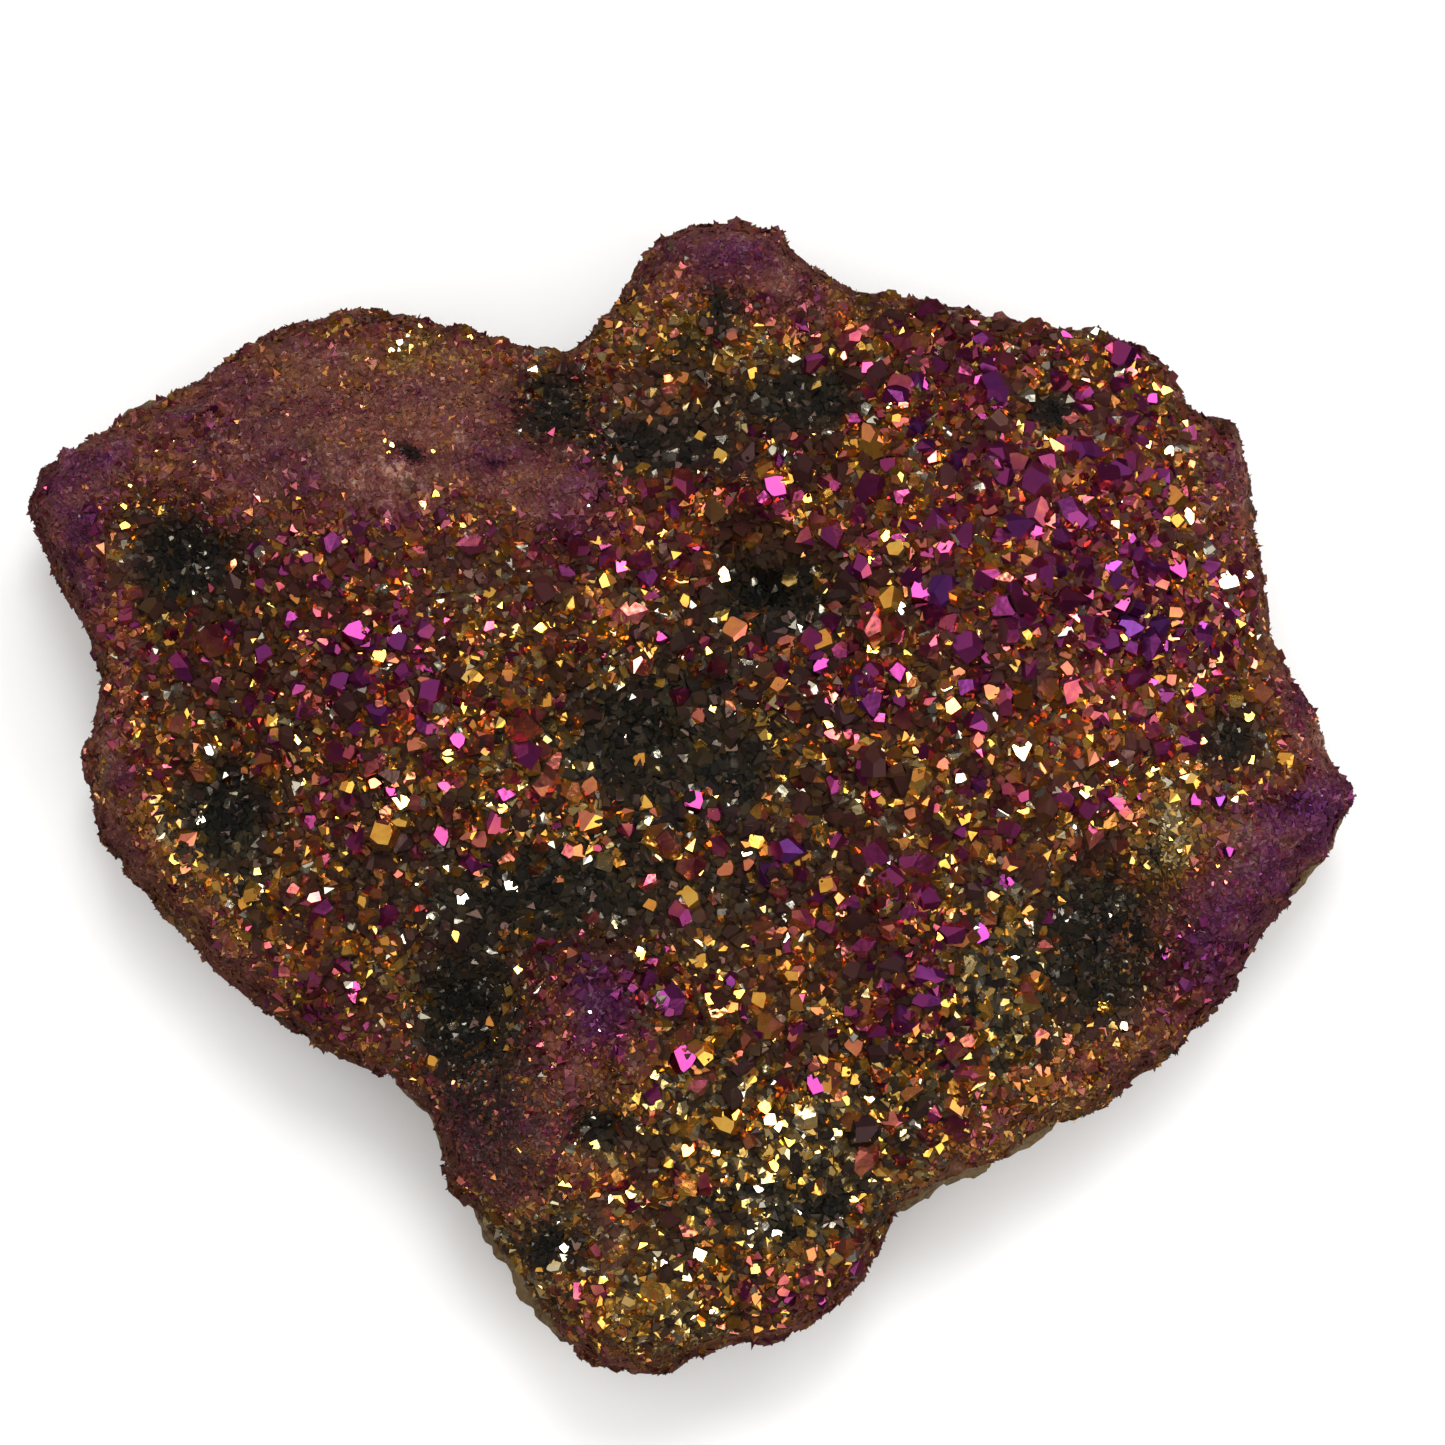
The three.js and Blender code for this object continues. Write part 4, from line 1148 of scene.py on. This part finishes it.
# %% The film's colours
FILM_COLOURS = (
    (0.00, (0.620, 0.600, 0.520)),
    (0.12, (0.620, 0.560, 0.400)),
    (0.18, (0.620, 0.490, 0.240)),
    (0.28, (0.690, 0.400, 0.070)),
    (0.36, (0.650, 0.290, 0.048)),
    (0.43, (0.580, 0.200, 0.070)),
    (0.50, (0.460, 0.130, 0.090)),
    (0.57, (0.290, 0.050, 0.074)),
    (0.66, (0.215, 0.027, 0.106)),
    (0.80, (0.165, 0.024, 0.130)),
    (1.00, (0.125, 0.032, 0.185)),
)
# bare crystal: black at 0, which is painted shade in the pits, maroon at 0.6, and mauve at 1, partly
# painted light
BARE_AND_SHADE_COLOURS = (
    (0.0, (0.0090, 0.0090, 0.0082)),
    (0.6, (0.025, 0.0088, 0.0066)),
    (1.0, (0.056, 0.0215, 0.0205)),
)
GRIT = (0.148, 0.057, 0.043)
VIOLET_GRIT = (0.160, 0.034, 0.090)
OLIVE_GRIT = (0.085, 0.068, 0.038)
TAN_GRIT = (0.30, 0.155, 0.120)
PALE_GRIT = (0.42, 0.28, 0.20)
WARM_SHEEN = (1.0, 0.58, 0.45)
FIRST_COLOUR, SECOND_COLOUR, MIXED_COLOUR = 6, 7, 2  # the mix node's colour sockets, by place


# %% Mixing two colours
def mixed(tree, share, first, second):
    """A colour between two, each either a socket or a plain colour."""
    node = add(tree, "ShaderNodeMix", data_type="RGBA")
    tree.links.new(share, node.inputs["Factor"])
    for place, value in ((FIRST_COLOUR, first), (SECOND_COLOUR, second)):
        if isinstance(value, tuple):
            node.inputs[place].default_value = (*value, 1)
        else:
            tree.links.new(value, node.inputs[place])
    return node.outputs[MIXED_COLOUR]


# %% The grit on the finest druse
def grit_colour(tree, drifted, dusty):
    """Brown with olive patches, violet where the film is thick, tan where it lies deep, and pale wisps."""
    fold = maths(tree, "ABSOLUTE", maths(tree, "SUBTRACT", noise_at(tree, scale=650, detail=3), 0.5), 0.0)
    wisp = maths(tree, "MULTIPLY", between(tree, fold, (0.0, 0.014), (0.75, 0.0)), dusty)
    olive = between(tree, noise_at(tree, scale=230, detail=2), (0.57, 0.68), (0.0, 0.85))
    brown = mixed(tree, olive, GRIT, OLIVE_GRIT)
    brown = mixed(tree, between(tree, drifted, (0.66, 0.82), (0.0, 0.9)), brown, VIOLET_GRIT)
    tan = mixed(tree, between(tree, dusty, (0.78, 1.0), (0.0, 1.0)), brown, TAN_GRIT)
    return mixed(tree, wisp, tan, PALE_GRIT)


# %% How dull a face is
def dullness(tree, film, dusty, dull, roughness):
    """The roughness that chance gives the face, and more where the film is thick or grit lies on it."""
    by_chance = between(tree, dull, (0.0, 1.0), roughness)
    with_film = maths(tree, "ADD", by_chance, between(tree, film, (0.58, 0.72), (0.0, 0.16)))
    return maths(tree, "ADD", with_film, maths(tree, "MULTIPLY", dusty, 0.4))


# %% The coated crystal finish
DRIFT = 0.30  # how far the film's thickness wanders within a face
LOST_UNDER_GRIT = 0.7  # how much of the metal look is lost where grit lies


def coated(name, roughness, metal_share, brightness=1.0, sheen_of_bare=0.16, haze=0.0):
    """A finish that reads its colour from the film. Less metal makes it more matte, for the finer druse."""
    material, tree, shader = new_finish(name)
    film, coat, dusty, dull, tint_and_shade = (
        add(tree, "ShaderNodeAttribute", attribute_name=key).outputs["Fac"]
        for key in ("film", "coat", "dusty", "dull", "bare_tint_and_shade")
    )
    drift = maths(tree, "SUBTRACT", noise_at(tree, scale=700), 0.5)
    drifted = maths(tree, "ADD", film, maths(tree, "MULTIPLY", drift, DRIFT))
    stops = [(place, tuple(brightness * c for c in colour)) for place, colour in FILM_COLOURS]
    colour = mixed(tree, coat, ramp(tree, tint_and_shade, BARE_AND_SHADE_COLOURS), ramp(tree, drifted, stops))
    gritty = mixed(tree, dusty, colour, grit_colour(tree, drifted, dusty))
    tree.links.new(gritty, shader.inputs["Base Color"])
    clean = maths(tree, "SUBTRACT", 1.0, maths(tree, "MULTIPLY", dusty, LOST_UNDER_GRIT))
    metal = maths(tree, "MULTIPLY", between(tree, coat, (0.15, 0.5), (0.0, metal_share)), clean)
    tree.links.new(metal, shader.inputs["Metallic"])
    tree.links.new(dullness(tree, film, dusty, dull, roughness), shader.inputs["Roughness"])
    shader.inputs["Specular IOR Level"].default_value = sheen_of_bare
    shader.inputs["Specular Tint"].default_value = (*WARM_SHEEN, 1)
    shader.inputs["Coat Weight"].default_value = haze
    shader.inputs["Coat Roughness"].default_value = 0.3
    bump(tree, shader, noise_at(tree, scale=1100, detail=2), distance=0.03 * MM, strength=1.0)
    return material


finishes = {
    "crystals_flashing": coated("coated_flashing_crystal", (0.04, 0.08), metal_share=1.0),
    "crystals_glowing": coated("coated_glowing_crystal", (0.06, 0.14), metal_share=0.92),
    "crystals_large": coated("coated_large_crystal", (0.05, 0.20), metal_share=0.90),
    "crystals_medium": coated("coated_crystal", (0.05, 0.20), metal_share=0.95),
    "crystals_small": coated("coated_small_crystal", (0.05, 0.20), metal_share=0.95),
    "crystals_fine_west": coated(
        "coated_fine_druse", (0.15, 0.50), metal_share=0.7, brightness=0.75, haze=0.25
    ),
}
finishes["crystals_fine_east"] = finishes["crystals_fine_west"]
for piece in crystal_pieces:
    piece.data.materials.append(finishes[piece.name])
print("crystal pieces with a finish:", len(crystal_pieces))

# %% [markdown]
# ## The bed between the crystals
#
# Where crystals leave a gap the crust's own floor shows: the same coated mineral in grains too small to
# make out. Filling every gap with still smaller crystals would take millions of them, so the bed gets the
# same finish instead, with its film colours at 0.3 of their brightness, and carries the same numbers on its
# corners. Between coarse crystals it is left all but bare, and so nearly black: both are painted shade in
# the gaps. On fine ground it is coated as the crystals are.

# %% The bed's film and finish
bed_film = np.clip(ground_film(bed_at, convexity, bed_fine), THINNEST_FILM, 1)
# painted shade: little coat between coarse crystals, so the gaps show dark bare crystal
bed_coat = np.clip(bed_fine * (0.5 + 0.3 * fbm(bed_at, size=0.7 * MM, seed=4.4)), 0.04, 1)
bed_marks = {
    "film": bed_film,
    "coat": bed_coat,
    "dusty": dustiness(bed_at, bed_fine),
    "dull": chance.random(len(bed_at)),
    "bare_tint_and_shade": bare_tint_and_shade(bed_at),
}
for key, values in bed_marks.items():
    bed.data.attributes.new(key, "FLOAT", "POINT").data.foreach_set("value", values)
    print("bed", key, "is", round(float(values.mean()), 2), "on average")
# a darker copy of the crystal finish, painted shade on the bed
bed.data.materials.append(
    coated("coated_bed_painted_shade", (0.4, 0.6), metal_share=0.5, brightness=0.3, sheen_of_bare=0.05)
)

# %% [markdown]
# ## The rock
#
# The slab under the crust is plain broken rock. A displacement map would need a far denser mesh, and a bump
# alone would leave its outline smooth. So its side is roughened in the mesh itself, and the roughening
# fades out towards the flat foot and wherever the crust lies on it. Bump is left for the grain.

# %% Broken sides, flat foot
COVERED = 0.5 * MM  # rock nearer to the crust than this stays as it is
FADE_AT_CRUST = 1.2 * MM
FADE_AT_FOOT = 0.9 * MM
FOOT_DEPTH = 0.35 * MM
rock_at = corners(rock.data)
rock_normal = corner_normals(rock.data)
level = np.sqrt(1 - np.clip(rock_normal[:, 2], -1, 1) ** 2)
rock_at -= rock_normal * (SUNK * level)[:, None]
crust_tree = BVHTree.FromObject(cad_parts["crystal_crust"], bpy.context.evaluated_depsgraph_get())
to_crust = np.array([crust_tree.find_nearest(Vector(p))[3] for p in rock_at])
exposed = np.clip((to_crust - COVERED) / FADE_AT_CRUST, 0, 1)
above_foot = np.clip(rock_at[:, 2] / FADE_AT_FOOT, 0, 1)
ledges = np.abs(fbm(rock_at * [1, 1, 2.2], size=2.6 * MM, seed=4.9))
broken = 0.45 * fbm(rock_at, size=3.5 * MM, seed=2.2) - 0.80 * ledges
broken = broken + 0.30 * fbm(rock_at, size=0.9 * MM, seed=8.1) - 0.10
rock_at += rock_normal * (broken * exposed * above_foot * MM)[:, None]
on_foot = (rock_at[:, 2] < FOOT_DEPTH) & (rock_normal[:, 2] < -0.7)
rock_at[on_foot, 2] = 0
rock_at[:, 2] = np.maximum(rock_at[:, 2], 0)
set_corners(rock.data, rock_at)
print("rock corners on the foot:", on_foot.sum())

# %% The rock's finish
rock_finish, tree, shader = new_finish("tan_host_rock")
cloud = noise_at(tree, scale=260, detail=6)
grain = noise_at(tree, scale=2400, detail=5, roughness=0.7)
blend = maths(tree, "ADD", maths(tree, "MULTIPLY", cloud, 0.50), maths(tree, "MULTIPLY", grain, 0.50))
rock_colour = ramp(tree, blend, (
    (0.30, (0.040, 0.026, 0.012)),
    (0.44, (0.105, 0.066, 0.026)),
    (0.54, (0.210, 0.130, 0.052)),
    (0.64, (0.140, 0.106, 0.058)),
    (0.75, (0.330, 0.240, 0.130)),
))
tree.links.new(rock_colour, shader.inputs["Base Color"])
shader.inputs["Roughness"].default_value = 0.88
lumps_height = maths(tree, "MULTIPLY", noise_at(tree, scale=750, detail=6, roughness=0.7), 1.5)
bump(tree, shader, maths(tree, "ADD", lumps_height, grain), distance=0.35 * MM, strength=0.9)
rock.data.materials.append(rock_finish)
print("the rock's finish is", rock_finish.name)

# %% The floor's finish
floor_finish, tree, shader = new_finish("pale_floor")
shader.inputs["Base Color"].default_value = (0.86, 0.86, 0.86, 1)
shader.inputs["Roughness"].default_value = 0.9
floor_mesh.materials.append(floor_finish)

# %% [markdown]
# ## Handing over
#
# Every piece rides on the one body, and the solids that the pieces dress are hidden.

# %% Rides and stand-ins
for piece in (bed, *crystal_pieces):
    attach(piece, "root")
    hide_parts("crystal_crust")
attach(rock, "root")
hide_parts("host_rock")
print("pieces handed over:", 2 + len(crystal_pieces))
